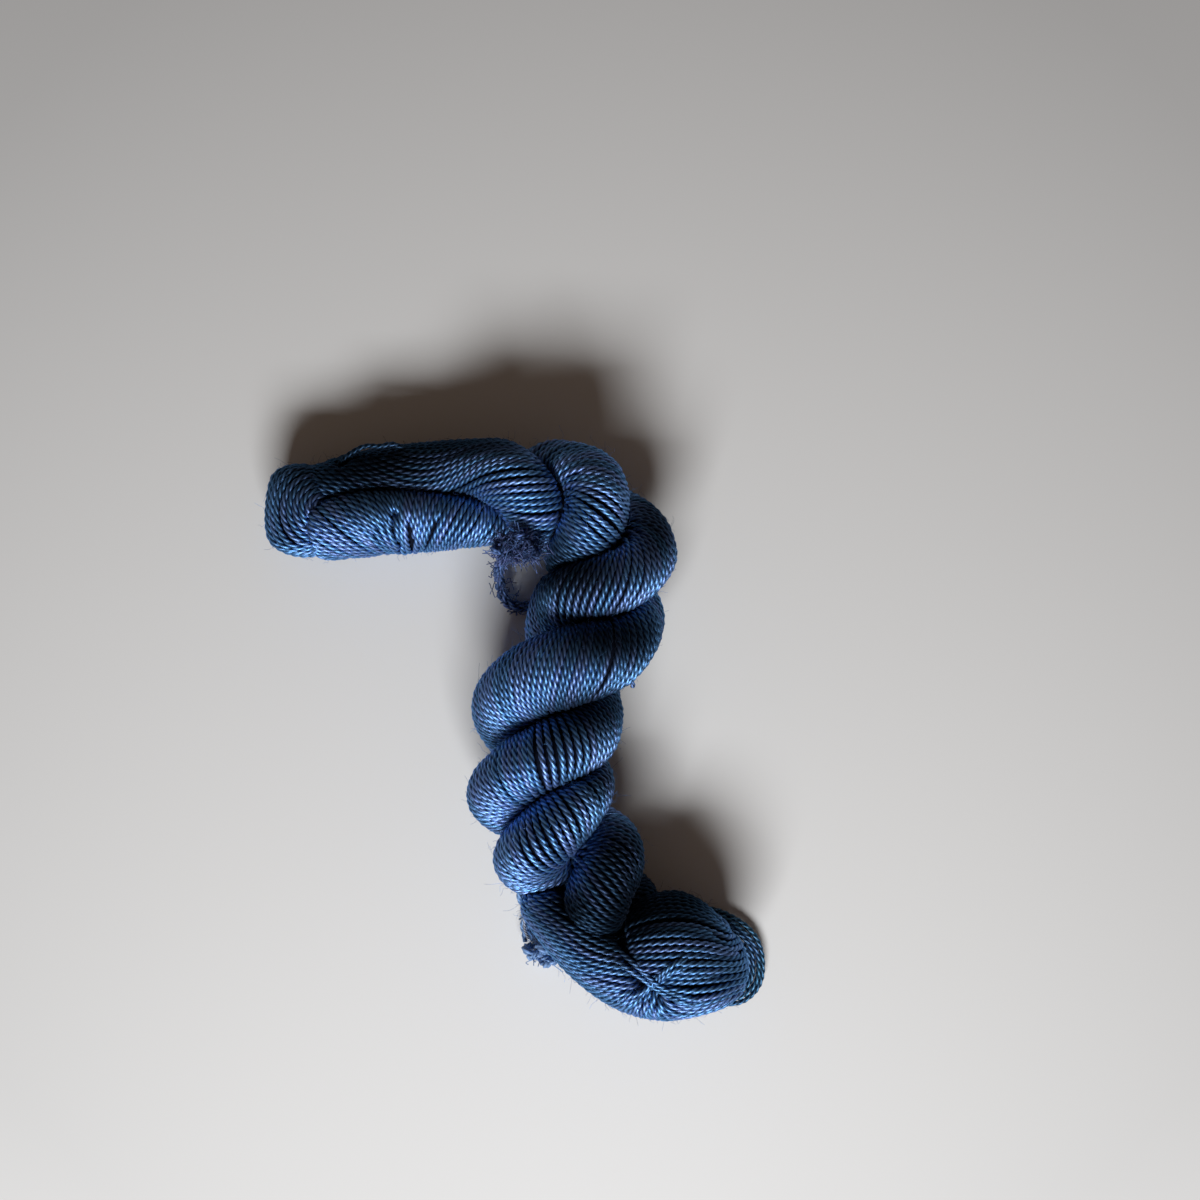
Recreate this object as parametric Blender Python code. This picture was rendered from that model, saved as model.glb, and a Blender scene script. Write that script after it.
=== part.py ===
"""A twisted hank of plied yarn that lies bent round a corner, with its ties.

The hank is two fat plies wound round each other along a bent centreline.
At its left end the plies lie side by side and turn back into each other.
At its lower end a folded loop, drawn in at a pinch, caps the first lobe.
Tables are in millimetres, the mesh is in metres, +X right, +Y up the page and
+Z up from the surface that the hank lies on.
"""
import math

import bmesh
import bpy
import numpy as np
from mathutils import Matrix, Vector

MM = 0.001
UP = np.array([0.0, 0.0, 1.0])

RING_STEP = 3.8         # spacing of the rings along a tube
PLY_SIDES = 18          # points round a ply
BUNDLE_SIDES = 22       # points round a bundle of the end turns
DOME_RINGS = 3          # rings in the domed end of a tube
SPAN_POINTS = 24        # points worked out between two rows of a table
PLY_DOME = 6.0          # length of the domed end of each tube
LEFT_TURN_DOME = 5.0
LEFT_ARM_DOME = 7.0
RIGHT_FAN_DOME = 3.0

NAVY = (0.020, 0.034, 0.088, 1.0)
FLECKED_NAVY = (0.090, 0.120, 0.180, 1.0)

# The hank's centreline, from the folded end to the left end.
# half_turns: how far the plies have wound, one ply on top at odd numbers and
#             the other at even numbers
# bearing: the way that the hank runs, in degrees from +X
# half_width, half_height: half the size of the hank there
# share: radius of a ply as a share of that half size
# lobe: half the width of the lobe that a ply shows on top
ROPE_COLUMNS = (
    "half_turns", "x", "y", "z", "bearing", "half_width", "half_height", "share", "lobe",
)
ROPE = (
    (0.35, 36.0, -61.7, 12.0, 118, 12.0, 12.0, 0.52, 7.5),
    (0.65, 31.5, -53.7, 15.0, 112, 14.5, 15.5, 0.52, 8.5),
    (1.00, 26.6, -45.1, 17.7, 106, 18.0, 18.5, 0.52, 9.4),
    (1.50, 18.3, -35.3, 19.6, 100, 20.8, 20.5, 0.52, 9.6),
    (2.00, 13.5, -26.7, 20.2, 102, 20.8, 21.0, 0.52, 9.2),
    (2.50, 10.3, -17.3, 20.2, 98, 21.0, 21.0, 0.52, 9.2),
    (3.00, 10.8, -7.2, 20.5, 85, 21.2, 21.3, 0.52, 9.6),
    (3.50, 12.0, 3.9, 20.8, 74, 21.6, 21.5, 0.52, 10.6),
    (4.00, 18.4, 17.9, 21.0, 64, 21.4, 21.8, 0.52, 11.2),
    (4.50, 26.0, 31.3, 20.2, 65, 19.2, 21.0, 0.52, 10.4),
    (5.00, 29.6, 40.9, 19.7, 79, 19.0, 20.5, 0.52, 9.4),
    (5.50, 29.6, 49.7, 19.5, 102, 18.8, 20.3, 0.53, 9.2),
    (6.00, 25.4, 59.9, 19.2, 130, 17.8, 20.0, 0.54, 9.4),
    (6.50, 16.2, 64.9, 18.2, 160, 16.5, 19.0, 0.54, 9.8),
    (7.00, 5.0, 66.9, 17.7, 176, 15.6, 18.5, 0.53, 9.6),
    (7.39, -6.5, 66.5, 16.4, 182, 15.4, 18.0, 0.55, 10.0),
    (7.55, -21.0, 65.4, 13.8, 184, 15.9, 17.6, 0.61, 11.4),
    (7.60, -36.0, 64.0, 12.8, 187, 15.4, 17.3, 0.64, 11.9),
    (7.61, -48.0, 61.8, 12.2, 190, 14.2, 16.4, 0.64, 11.4),
    (7.62, -59.0, 60.0, 11.4, 192, 12.6, 14.6, 0.64, 10.2),
)

# The turned-back left end, where one ply runs round into the other.
# half_side, half_up: half the size of the bundle, across and upright
BUNDLE_COLUMNS = ("x", "y", "z", "half_side", "half_up")
LEFT_TURN = (
    (-55.6, 74.7, 9.6, 8.6, 7.6),
    (-56.4, 69.3, 10.6, 11.0, 10.4),
    (-57.0, 62.3, 11.6, 11.6, 12.0),
    (-57.4, 55.3, 11.2, 11.2, 11.6),
    (-57.8, 48.5, 9.8, 8.8, 9.2),
)

# The left arm of the folded end, from under the second lobe to the pinch.
LEFT_ARM = (
    (7.0, -44.7, 12.0, 7.0, 9.5),
    (15.0, -51.7, 16.0, 9.4, 13.5),
    (24.5, -60.5, 17.6, 10.6, 16.0),
    (34.0, -67.1, 17.4, 11.4, 16.5),
    (42.5, -70.3, 16.6, 11.6, 16.0),
    (50.0, -71.7, 15.0, 10.0, 14.0),
)

# The right half of the folded end, which fans out from the pinch.
RIGHT_FAN = (
    (34.5, -62.2, 15.5, 10.5, 12.0),
    (39.0, -62.3, 17.0, 16.0, 16.4),
    (45.0, -63.5, 18.0, 18.3, 18.6),
    (52.0, -65.2, 17.6, 16.8, 18.4),
    (59.0, -67.5, 15.6, 12.8, 16.0),
    (64.0, -69.1, 13.6, 8.4, 11.5),
    (67.4, -70.1, 12.6, 4.0, 6.0),
)

# The pinch that the tie draws in: its place, the depth of the hollow and its reach.
PINCH = Vector((41.6, -69.9, 33.0))
PINCH_DEPTH = 5.5
PINCH_REACH = 5.0

# The block that stands for the surface: its size along X, Y and Z.
GROUND_SIZE = Vector((400.0, 400.0, 20.0))

# Knots of the ties: middle, half sizes and turn of the lump about Z.
KNOT_COLUMNS = ("x", "y", "z", "half_x", "half_y", "half_z", "turn")
KNOTS = {
    "upper_tie_knot": (4.4, 50.5, 32.4, 7.2, 4.0, 4.4, -4.0),
    "lower_tie_knot": (9.8, -66.5, 3.6, 5.4, 3.2, 3.3, -20.0),
}
KNOT_RIDGE = 0.14       # height of a knot's wrapped ridges, as a share of its size
KNOT_SLANT = 5.0        # turn of the ridges from a knot's middle to its end, in radians

# Routes of the loose yarn, point by point, and its diameters.
UPPER_TIE_ROUTE = (
    (13.0, 36.7, 4.9),
    (9.2, 35.3, 2.6),
    (4.6, 34.3, 1.9),
    (0.4, 35.1, 2.2),
    (-1.6, 38.3, 4.4),
    (-2.0, 41.9, 9.6),
    (-1.8, 44.3, 16.0),
    (-1.0, 46.4, 22.0),
    (0.9, 49.3, 27.3),
)
LOWER_TIE_ROUTE = (
    (11.8, -34.9, 2.0),
    (8.4, -36.9, 2.1),
    (5.0, -40.3, 1.9),
    (3.0, -44.9, 1.9),
    (3.8, -49.7, 1.9),
    (5.4, -54.2, 1.9),
    (5.0, -59.2, 1.9),
    (5.9, -62.9, 2.2),
)
END_LOOP_ROUTE = (
    (57.8, -54.9, 3.1),
    (62.6, -56.3, 2.5),
    (67.2, -59.1, 2.5),
    (71.0, -63.3, 2.5),
    (72.6, -68.7, 2.5),
    (71.8, -74.7, 2.5),
    (67.8, -78.9, 2.5),
    (62.6, -79.3, 2.6),
    (58.0, -76.0, 3.8),
)
CORD_STEP = 1.25        # spacing of a cord's points, in its diameters
TIE_DIAMETER = 3.2
END_LOOP_DIAMETER = 4.4


def clear_scene():
    """Remove whatever the scene holds."""
    for item in list(bpy.data.objects):
        bpy.data.objects.remove(item, do_unlink=True)


def through(rows):
    """Catmull-Rom points through the rows of a table, every column alike."""
    knots = np.array(rows, dtype=float)
    before = 2.0 * knots[0] - knots[1]
    after = 2.0 * knots[-1] - knots[-2]
    knots = np.vstack([before, knots, after])
    points = []
    for index in range(1, len(knots) - 2):
        a, b, c, d = knots[index - 1:index + 3]
        for step in range(SPAN_POINTS):
            u = step / SPAN_POINTS
            linear = (c - a) * u
            square = (2.0 * a - 5.0 * b + 4.0 * c - d) * u ** 2
            cubic = (3.0 * b - a - 3.0 * c + d) * u ** 3
            points.append(b + 0.5 * (linear + square + cubic))
    points.append(knots[-2])
    return np.array(points)


def smooth_columns(names, rows):
    """The columns of a table by name, smoothed through its rows."""
    return dict(zip(names, through(rows).T))


def unit(vectors):
    """Each row of an array at length one."""
    lengths = np.linalg.norm(vectors, axis=1, keepdims=True)
    return vectors / lengths


def left_of(bearing):
    """Level direction to the left of each bearing, in degrees from +X."""
    turn = np.radians(bearing)
    return np.column_stack([-np.sin(turn), np.cos(turn), np.zeros(len(turn))])


def bearing_of(path):
    """Bearing of a path at each of its points, in degrees from +X."""
    heading = np.gradient(path[:, :2], axis=0)
    return np.degrees(np.arctan2(heading[:, 1], heading[:, 0]))


def run_along(path):
    """Distance along a path at each of its points."""
    lengths = np.linalg.norm(np.diff(path, axis=0), axis=1)
    return np.concatenate([[0.0], np.cumsum(lengths)])


def read_at(places, path, values):
    """Rows of values that belong to a path, read at places along it."""
    run = run_along(path)
    return np.column_stack([np.interp(places, run, column) for column in values.T])


def domed_places(total, dome):
    """Places of the rings along a tube, closer where its ends are domed."""
    bend = np.radians(np.linspace(0.0, 90.0, DOME_RINGS + 1))
    start = dome * (1.0 - np.cos(bend))
    count = max(2, int(round((total - 2.0 * dome) / RING_STEP)))
    middle = np.linspace(dome, total - dome, count + 1)[1:-1]
    return np.concatenate([start, middle, total - start[::-1]])


def dome_share(places, dome):
    """Share of full size at each place along a tube with domed ends."""
    edge = np.minimum(places, places[-1] - places)
    depth = 1.0 - np.clip(edge / dome, 0.0, 1.0)
    return np.sqrt(1.0 - depth ** 2)


def ply(lead):
    """Path, outward direction and two radii of a ply, lead half turns ahead."""
    rope = smooth_columns(ROPE_COLUMNS, ROPE)
    centre = np.column_stack([rope["x"], rope["y"], rope["z"]])
    phase = math.pi * (rope["half_turns"] - 0.5 + lead)
    wide = (np.cos(phase) * rope["half_width"])[:, None] * left_of(rope["bearing"])
    tall = (np.sin(phase) * rope["half_height"])[:, None] * UP
    arm = wide + tall
    reach = np.linalg.norm(arm, axis=1)
    path = centre + arm * (1.0 - rope["share"])[:, None]
    radii = np.column_stack([reach * rope["share"], rope["lobe"]])
    return path, unit(arm), radii


def bundle(rows):
    """Path, outward direction and two radii of a bundle given by its own table."""
    table = smooth_columns(BUNDLE_COLUMNS, rows)
    path = np.column_stack([table["x"], table["y"], table["z"]])
    radii = np.column_stack([table["half_side"], table["half_up"]])
    return path, left_of(bearing_of(path)), radii


def pinched(point):
    """A point moved down where the tie draws the bundle in."""
    away = (Vector(point) - PINCH).length
    sink = PINCH_DEPTH * math.exp(-0.5 * (away / PINCH_REACH) ** 2)
    return Vector((point[0], point[1], point[2] - sink))


def swept_tube(name, sections, sides, dome, colour):
    """One closed tube through elliptical sections, with domed ends."""
    line, outward, radii = sections
    places = domed_places(run_along(line)[-1], dome)
    outward = read_at(places, line, outward)
    radii = read_at(places, line, radii) * dome_share(places, dome)[:, None]
    path = read_at(places, line, line)
    tangent = unit(np.gradient(path, axis=0))
    lean = np.sum(outward * tangent, axis=1, keepdims=True)
    outward = unit(outward - lean * tangent)
    sideways = np.cross(tangent, outward)
    mesh = bmesh.new()
    rings = []
    for index in range(1, len(path) - 1):
        ring = []
        for side in range(sides):
            angle = 2.0 * math.pi * side / sides
            point = path[index] + outward[index] * radii[index][0] * math.cos(angle)
            point = point + sideways[index] * radii[index][1] * math.sin(angle)
            ring.append(mesh.verts.new(pinched(point) * MM))
        rings.append(ring)
    for lower, upper in zip(rings, rings[1:]):
        for side in range(sides):
            after = (side + 1) % sides
            mesh.faces.new((lower[side], lower[after], upper[after], upper[side]))
    for ring, end in ((rings[0], path[0]), (rings[-1], path[-1])):
        pole = mesh.verts.new(Vector(end) * MM)
        for side in range(sides):
            mesh.faces.new((ring[side], ring[(side + 1) % sides], pole))
    bmesh.ops.triangulate(mesh, faces=mesh.faces)
    bmesh.ops.recalc_face_normals(mesh, faces=mesh.faces)
    return finished(name, mesh, colour)


def finished(name, mesh, colour):
    """Turn a bmesh into a named, smooth-shaded object with its own material."""
    data = bpy.data.meshes.new(name)
    mesh.to_mesh(data)
    mesh.free()
    data.shade_smooth()
    item = bpy.data.objects.new(name, data)
    bpy.context.collection.objects.link(item)
    item.data.materials.append(yarn_material(name, colour))
    return item


def yarn_material(name, colour):
    """A matt woollen finish of one colour."""
    material = bpy.data.materials.new(name + "_yarn")
    material.use_nodes = True
    shader = material.node_tree.nodes["Principled BSDF"]
    shader.inputs["Base Color"].default_value = colour
    shader.inputs["Roughness"].default_value = 0.9
    shader.inputs["Metallic"].default_value = 0.0
    return material


def joined(target, tool, operation):
    """Join or cut the target with a tool object that is left out of the part."""
    tool.hide_render = True
    tool.display_type = "WIRE"
    boolean = target.modifiers.new(tool.name, "BOOLEAN")
    boolean.operation = operation
    boolean.solver = "EXACT"
    boolean.use_self = True
    boolean.object = tool


def ground():
    """The block under the surface that presses the hank's lobes flat."""
    mesh = bmesh.new()
    bmesh.ops.create_cube(mesh, size=1.0)
    bmesh.ops.scale(mesh, vec=GROUND_SIZE * MM, verts=mesh.verts)
    middle = Vector((0.0, 0.0, -0.5 * GROUND_SIZE.z * MM))
    bmesh.ops.translate(mesh, vec=middle, verts=mesh.verts)
    return finished("ground", mesh, NAVY)


def build_hank():
    """The wound body: two plies and both end turns, as one solid."""
    hank = swept_tube("hank", ply(0.0), PLY_SIDES, PLY_DOME, NAVY)
    tools = (
        swept_tube("second_ply", ply(1.0), PLY_SIDES, PLY_DOME, NAVY),
        swept_tube("left_turn", bundle(LEFT_TURN), BUNDLE_SIDES, LEFT_TURN_DOME, NAVY),
        swept_tube("left_arm", bundle(LEFT_ARM), BUNDLE_SIDES, LEFT_ARM_DOME, NAVY),
        swept_tube("right_fan", bundle(RIGHT_FAN), BUNDLE_SIDES, RIGHT_FAN_DOME, NAVY),
    )
    for tool in tools:
        joined(hank, tool, "UNION")
    joined(hank, ground(), "DIFFERENCE")


def build_knot(name, row):
    """A knot as one lump whose ridges wrap round it aslant."""
    knot = dict(zip(KNOT_COLUMNS, row))
    middle = Vector((knot["x"], knot["y"], knot["z"]))
    turn = Matrix.Rotation(math.radians(knot["turn"]), 3, "Z")
    mesh = bmesh.new()
    bmesh.ops.create_uvsphere(mesh, u_segments=16, v_segments=10, radius=1.0)
    for vertex in mesh.verts:
        around = math.atan2(vertex.co.z, vertex.co.y)
        slant = KNOT_SLANT * vertex.co.x
        ridge = 1.0 + KNOT_RIDGE * math.cos(2.0 * around + slant)
        lump = Vector((
            vertex.co.x * knot["half_x"],
            vertex.co.y * knot["half_y"],
            vertex.co.z * knot["half_z"],
        ))
        vertex.co = (middle + turn @ lump * ridge) * MM
    return finished(name, mesh, NAVY)


def build_cord(name, route, diameter, colour):
    """Loose yarn as one round cord along its route."""
    line = through(route)
    total = run_along(line)[-1]
    count = int(round(total / (diameter * CORD_STEP))) + 1
    points = read_at(np.linspace(0.0, total, count), line, line)
    curve = bpy.data.curves.new(name, "CURVE")
    curve.dimensions = "3D"
    curve.bevel_depth = diameter * 0.5 * MM
    curve.bevel_resolution = 2
    curve.use_fill_caps = True
    spline = curve.splines.new("POLY")
    spline.points.add(len(points) - 1)
    for target, point in zip(spline.points, points):
        target.co = (point[0] * MM, point[1] * MM, point[2] * MM, 1.0)
        target.radius = 1.0
    item = bpy.data.objects.new(name, curve)
    bpy.context.collection.objects.link(item)
    curve.materials.append(yarn_material(name, colour))
    return item


def main():
    """Build the hank, then its knots and loose yarn."""
    clear_scene()
    build_hank()
    for name, row in KNOTS.items():
        build_knot(name, row)
    build_cord("upper_tie_end", UPPER_TIE_ROUTE, TIE_DIAMETER, NAVY)
    build_cord("lower_tie_end", LOWER_TIE_ROUTE, TIE_DIAMETER, NAVY)
    build_cord("end_loop", END_LOOP_ROUTE, END_LOOP_DIAMETER, FLECKED_NAVY)


if __name__ == "__main__":
    main()
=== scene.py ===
"""Looks of a twisted hank of plied yarn that lies bent round a corner.

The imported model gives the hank, its two tie ends with their knots, and its end
loop. This script lays real lengths of three-ply yarn over the hank's surface,
twists the loose yarn, ties the knots and sets the studio and the camera.
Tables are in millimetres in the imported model's frame: +X right, +Y up the page
and +Z up from the surface that the hank lies on.
"""

import logging
import math
from collections import deque
from collections.abc import Iterator, Sequence
from dataclasses import dataclass, field
from enum import Enum
from itertools import product

import bpy
import numpy as np
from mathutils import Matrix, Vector, noise
from mathutils.bvhtree import BVHTree


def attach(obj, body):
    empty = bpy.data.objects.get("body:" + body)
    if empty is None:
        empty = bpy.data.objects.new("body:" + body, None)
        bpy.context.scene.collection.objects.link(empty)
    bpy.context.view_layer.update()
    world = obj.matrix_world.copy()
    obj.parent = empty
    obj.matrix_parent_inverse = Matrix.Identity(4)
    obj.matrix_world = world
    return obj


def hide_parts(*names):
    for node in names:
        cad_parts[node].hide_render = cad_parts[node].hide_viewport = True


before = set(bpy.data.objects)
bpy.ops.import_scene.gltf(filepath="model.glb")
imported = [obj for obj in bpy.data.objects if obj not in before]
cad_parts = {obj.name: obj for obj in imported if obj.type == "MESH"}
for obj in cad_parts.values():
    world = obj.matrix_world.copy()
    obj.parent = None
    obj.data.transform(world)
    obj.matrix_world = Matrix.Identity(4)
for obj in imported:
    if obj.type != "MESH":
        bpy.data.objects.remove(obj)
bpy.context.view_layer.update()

LOG = logging.getLogger("skein")
MM = 0.001
UP = np.array([0.0, 0.0, 1.0])

Colour = tuple[float, float, float, float]
Triple = tuple[float, float, float]
Rows = Sequence[Sequence[float]]
Cell = tuple[int, int, int]

# How far yarn stays clear of the floor, where it is loose and where it is laid.
LOOSE_GAP = 0.03
LAID_GAP = 0.05

# The hank's centreline, from the folded end to the left end, as in the solids.
# first_lay, second_lay: angle of the yarn on the ply that is on top at odd and at
#                        even half turns, in degrees to the left of the ply's run
ROPE_COLUMNS = (
    "half_turns", "x", "y", "z", "bearing", "half_width", "half_height", "share", "lobe",
    "first_lay", "second_lay",
)
ROPE = (
    (0.35, 36.0, -61.7, 12.0, 118, 12.0, 12.0, 0.52, 7.5, 60, 60),
    (0.65, 31.5, -53.7, 15.0, 112, 14.5, 15.5, 0.52, 8.5, 60, 60),
    (1.00, 26.6, -45.1, 17.7, 106, 18.0, 18.5, 0.52, 9.4, 62, 64),
    (1.50, 18.3, -35.3, 19.6, 100, 20.8, 20.5, 0.52, 9.6, 66, 68),
    (2.00, 13.5, -26.7, 20.2, 102, 20.8, 21.0, 0.52, 9.2, 70, 72),
    (2.50, 10.3, -17.3, 20.2, 98, 21.0, 21.0, 0.52, 9.2, 73, 72),
    (3.00, 10.8, -7.2, 20.5, 85, 21.2, 21.3, 0.52, 9.6, 74, 70),
    (3.50, 12.0, 3.9, 20.8, 74, 21.6, 21.5, 0.52, 10.6, 70, 64),
    (4.00, 18.4, 17.9, 21.0, 64, 21.4, 21.8, 0.52, 11.2, 62, 58),
    (4.50, 26.0, 31.3, 20.2, 65, 19.2, 21.0, 0.52, 10.4, 54, 58),
    (5.00, 29.6, 40.9, 19.7, 79, 19.0, 20.5, 0.52, 9.4, 52, 62),
    (5.50, 29.6, 49.7, 19.5, 102, 18.8, 20.3, 0.53, 9.2, 56, 66),
    (6.00, 25.4, 59.9, 19.2, 130, 17.8, 20.0, 0.54, 9.4, 60, 68),
    (6.50, 16.2, 64.9, 18.2, 160, 16.5, 19.0, 0.54, 9.8, 57, 64),
    (7.00, 5.0, 66.9, 17.7, 176, 15.6, 18.5, 0.53, 9.6, 53, 62),
    (7.39, -6.5, 66.5, 16.4, 182, 15.4, 18.0, 0.55, 10.0, 26, 58),
    (7.55, -21.0, 65.4, 13.8, 184, 15.9, 17.6, 0.61, 11.4, -14, 72),
    (7.60, -36.0, 64.0, 12.8, 187, 15.4, 17.3, 0.64, 11.9, -44, 112),
    (7.61, -48.0, 61.8, 12.2, 190, 14.2, 16.4, 0.64, 11.4, -52, 128),
    (7.62, -59.0, 60.0, 11.4, 192, 12.6, 14.6, 0.64, 10.2, -54, 132),
)

# The end turns' bundles, from their start to their end.
BUNDLE_COLUMNS = ("x", "y", "z", "half_side", "half_up", "lay")
LEFT_TURN = (
    (-55.6, 74.7, 9.6, 8.6, 7.6, 0),
    (-56.4, 69.3, 10.6, 11.0, 10.4, 0),
    (-57.0, 62.3, 11.6, 11.6, 12.0, 0),
    (-57.4, 55.3, 11.2, 11.2, 11.6, 0),
    (-57.8, 48.5, 9.8, 8.8, 9.2, 0),
)
LEFT_ARM = (
    (7.0, -44.7, 12.0, 7.0, 9.5, 14),
    (15.0, -51.7, 16.0, 9.4, 13.5, 12),
    (24.5, -60.5, 17.6, 10.6, 16.0, 10),
    (34.0, -67.1, 17.4, 11.4, 16.5, 10),
    (42.5, -70.3, 16.6, 11.6, 16.0, 8),
    (50.0, -71.7, 15.0, 10.0, 14.0, 8),
)
RIGHT_FAN = (
    (34.5, -62.2, 15.5, 10.5, 12.0, 0),
    (39.0, -62.3, 17.0, 16.0, 16.4, 0),
    (45.0, -63.5, 18.0, 18.3, 18.6, 0),
    (52.0, -65.2, 17.6, 16.8, 18.4, 0),
    (59.0, -67.5, 15.6, 12.8, 16.0, 0),
    (64.0, -69.1, 13.6, 8.4, 11.5, 0),
    (67.4, -70.1, 12.6, 4.0, 6.0, 0),
)
TURN_MIDDLE = Vector((-50.5, 61.5, 12.0))

# The pinch: its middle, the depth and width of its dent, and how near to it the arm's
# yarn is drawn in, with the distance that this takes.
PINCH = Vector((41.6, -69.9, 33.0))
PINCH_DEPTH = 3.4
PINCH_WIDTH = 4.2
DRAWN_FROM, DRAWN_OVER = 24.0, 12.0

# The fan's yarn runs out from its source, but from the pinch at low y and low x. On
# the side that faces right it runs down. Each has the distance that the change takes.
FAN_SOURCE = Vector((3.0, -64.6, 20.0))
PINCH_BELOW, PINCH_BELOW_OVER = -65.0, 6.0
PINCH_LEFT, PINCH_LEFT_OVER = 56.0, 14.0
FAN_SIDE, FAN_SIDE_OVER = 0.60, 0.30

# Painted shade: patches darkened where the light falls least, mostly on the upper sides of the
# lobes and in the fan's shadow. Middle and reach in x and y, in millimetres, and share.
PAINTED_SHADE_COLUMNS = ("x", "y", "reach_x", "reach_y", "share")
PAINTED_SHADE_PATCHES = (
    (-38.0, 73.5, 30.0, 11.5, 1.00),
    (-10.0, 79.5, 20.0, 6.0, 0.85),
    (42.0, 58.0, 7.0, 14.0, 0.85),
    (16.0, 43.0, 18.0, 9.0, 0.97),
    (31.0, 26.0, 16.0, 7.5, 0.95),
    (25.0, 6.5, 14.0, 7.5, 0.88),
    (30.0, -13.0, 10.0, 6.0, 0.65),
    (32.0, -34.0, 10.0, 9.0, 0.80),
    (35.0, -45.5, 12.0, 16.0, 1.00),
    (18.5, -48.5, 10.0, 7.5, 1.00),
    (28.0, -54.5, 8.5, 6.0, 0.80),
    (52.0, -46.0, 18.0, 8.0, 1.00),
    (46.0, -62.0, 26.0, 14.0, 0.35),
)

# Routes of the loose yarn, as in the solids.
UPPER_TIE_ROUTE = (
    (13.0, 36.7, 4.9),
    (9.2, 35.3, 2.6),
    (4.6, 34.3, 1.9),
    (0.4, 35.1, 2.2),
    (-1.6, 38.3, 4.4),
    (-2.0, 41.9, 9.6),
    (-1.8, 44.3, 16.0),
    (-1.0, 46.4, 22.0),
    (0.9, 49.3, 27.3),
)
LOWER_TIE_ROUTE = (
    (11.8, -34.9, 2.0),
    (8.4, -36.9, 2.1),
    (5.0, -40.3, 1.9),
    (3.0, -44.9, 1.9),
    (3.8, -49.7, 1.9),
    (5.4, -54.2, 1.9),
    (5.0, -59.2, 1.9),
    (5.9, -62.9, 2.2),
)
END_LOOP_ROUTE = (
    (57.8, -54.9, 3.1),
    (62.6, -56.3, 2.5),
    (67.2, -59.1, 2.5),
    (71.0, -63.3, 2.5),
    (72.6, -68.7, 2.5),
    (71.8, -74.7, 2.5),
    (67.8, -78.9, 2.5),
    (62.6, -79.3, 2.6),
    (58.0, -76.0, 3.8),
)

# Routes of the short yarns: four that cross the pinch, two ends and a loose bend.
SHORT_YARNS = {
    "first_crossing_yarn": (
        (31.7, -59.6, 30.6), (35.8, -62.6, 33.2), (38.8, -65.2, 33.4), (41.7, -67.9, 33.6),
        (45.3, -70.1, 33.4), (49.6, -71.5, 34.6), (54.6, -72.8, 32.5),
    ),
    "second_crossing_yarn": (
        (30.1, -61.5, 31.7), (34.4, -64.2, 33.5), (38.0, -66.7, 32.8), (41.5, -69.5, 31.8),
        (45.3, -71.8, 32.1), (49.6, -73.1, 33.6), (54.2, -74.9, 30.6),
    ),
    "third_crossing_yarn": (
        (52.3, -61.0, 34.0), (47.9, -61.6, 36.3), (44.4, -64.2, 35.9), (41.8, -67.6, 32.6),
        (39.1, -70.4, 31.4), (35.5, -72.0, 31.5), (31.7, -73.7, 28.9),
    ),
    "fourth_crossing_yarn": (
        (51.2, -63.0, 35.1), (47.3, -63.8, 36.3), (44.1, -66.0, 34.8), (41.5, -69.0, 31.5),
        (39.1, -71.6, 29.6), (35.8, -73.4, 30.1), (32.8, -74.9, 28.6),
    ),
    "side_yarn_end": (
        (30.6, 15.6, 15.0), (33.4, 14.6, 14.6), (35.6, 13.6, 13.6), (36.2, 11.4, 12.4),
    ),
    "lower_yarn_end": ((44.2, -79.6, 14.0), (44.6, -81.6, 12.6), (45.2, -83.0, 11.4)),
    "upper_yarn_bend": (
        (-47.5, 73.4, 16.5), (-44.0, 76.8, 18.2), (-39.5, 79.2, 18.6), (-35.0, 79.2, 19.6),
        (-31.0, 79.8, 19.0), (-26.0, 77.4, 18.0),
    ),
}
PALE_THREAD_ROUTE = (
    (4.5, -52.4, 4.2), (4.8, -55.6, 4.4), (5.0, -58.8, 4.6), (6.4, -62.0, 6.8),
)


# ---------------------------------------------------------------- small maths


def through(rows: Rows, span_points: int = 24) -> np.ndarray:
    """Read a smooth curve through the rows of a table, every column alike.

    Args:
        rows: The table's rows.
        span_points: Points worked out between two rows.

    Returns:
        The points, one row each, with the table's columns.
    """
    knots = np.array(rows, dtype=float)
    before = 2.0 * knots[0] - knots[1]
    after = 2.0 * knots[-1] - knots[-2]
    knots = np.vstack([before, knots, after])
    share = np.arange(span_points)[:, None] / span_points
    points = []
    for index in range(1, len(knots) - 2):
        a, b, c, d = knots[index - 1:index + 3]
        linear = (c - a) * share
        square = (2.0 * a - 5.0 * b + 4.0 * c - d) * share ** 2
        cubic = (3.0 * b - a - 3.0 * c + d) * share ** 3
        points.append(b + 0.5 * (linear + square + cubic))
    points.append(knots[-2:-1])
    return np.vstack(points)


def clamped(value: float) -> float:
    """Keep a value between 0 and 1."""
    return min(1.0, max(0.0, value))


def unit(vectors: np.ndarray) -> np.ndarray:
    """Bring each row of an array to length one."""
    lengths = np.linalg.norm(vectors, axis=1, keepdims=True)
    return vectors / np.maximum(lengths, 1e-9)


def left_of(bearing: np.ndarray) -> np.ndarray:
    """Give the level direction to the left of each bearing, in degrees from +X."""
    turn = np.radians(bearing)
    return np.column_stack([-np.sin(turn), np.cos(turn), np.zeros(len(turn))])


def run_along(path: np.ndarray) -> np.ndarray:
    """Measure the distance along a path at each of its points, one point a row."""
    lengths = np.linalg.norm(np.diff(path, axis=0), axis=1)
    return np.concatenate([[0.0], np.cumsum(lengths)])


def read_at(places: np.ndarray, path: np.ndarray, values: np.ndarray) -> np.ndarray:
    """Read values, one row for each point of a path, at distances along the path."""
    run = run_along(path)
    return np.column_stack([np.interp(places, run, column) for column in values.T])


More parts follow.
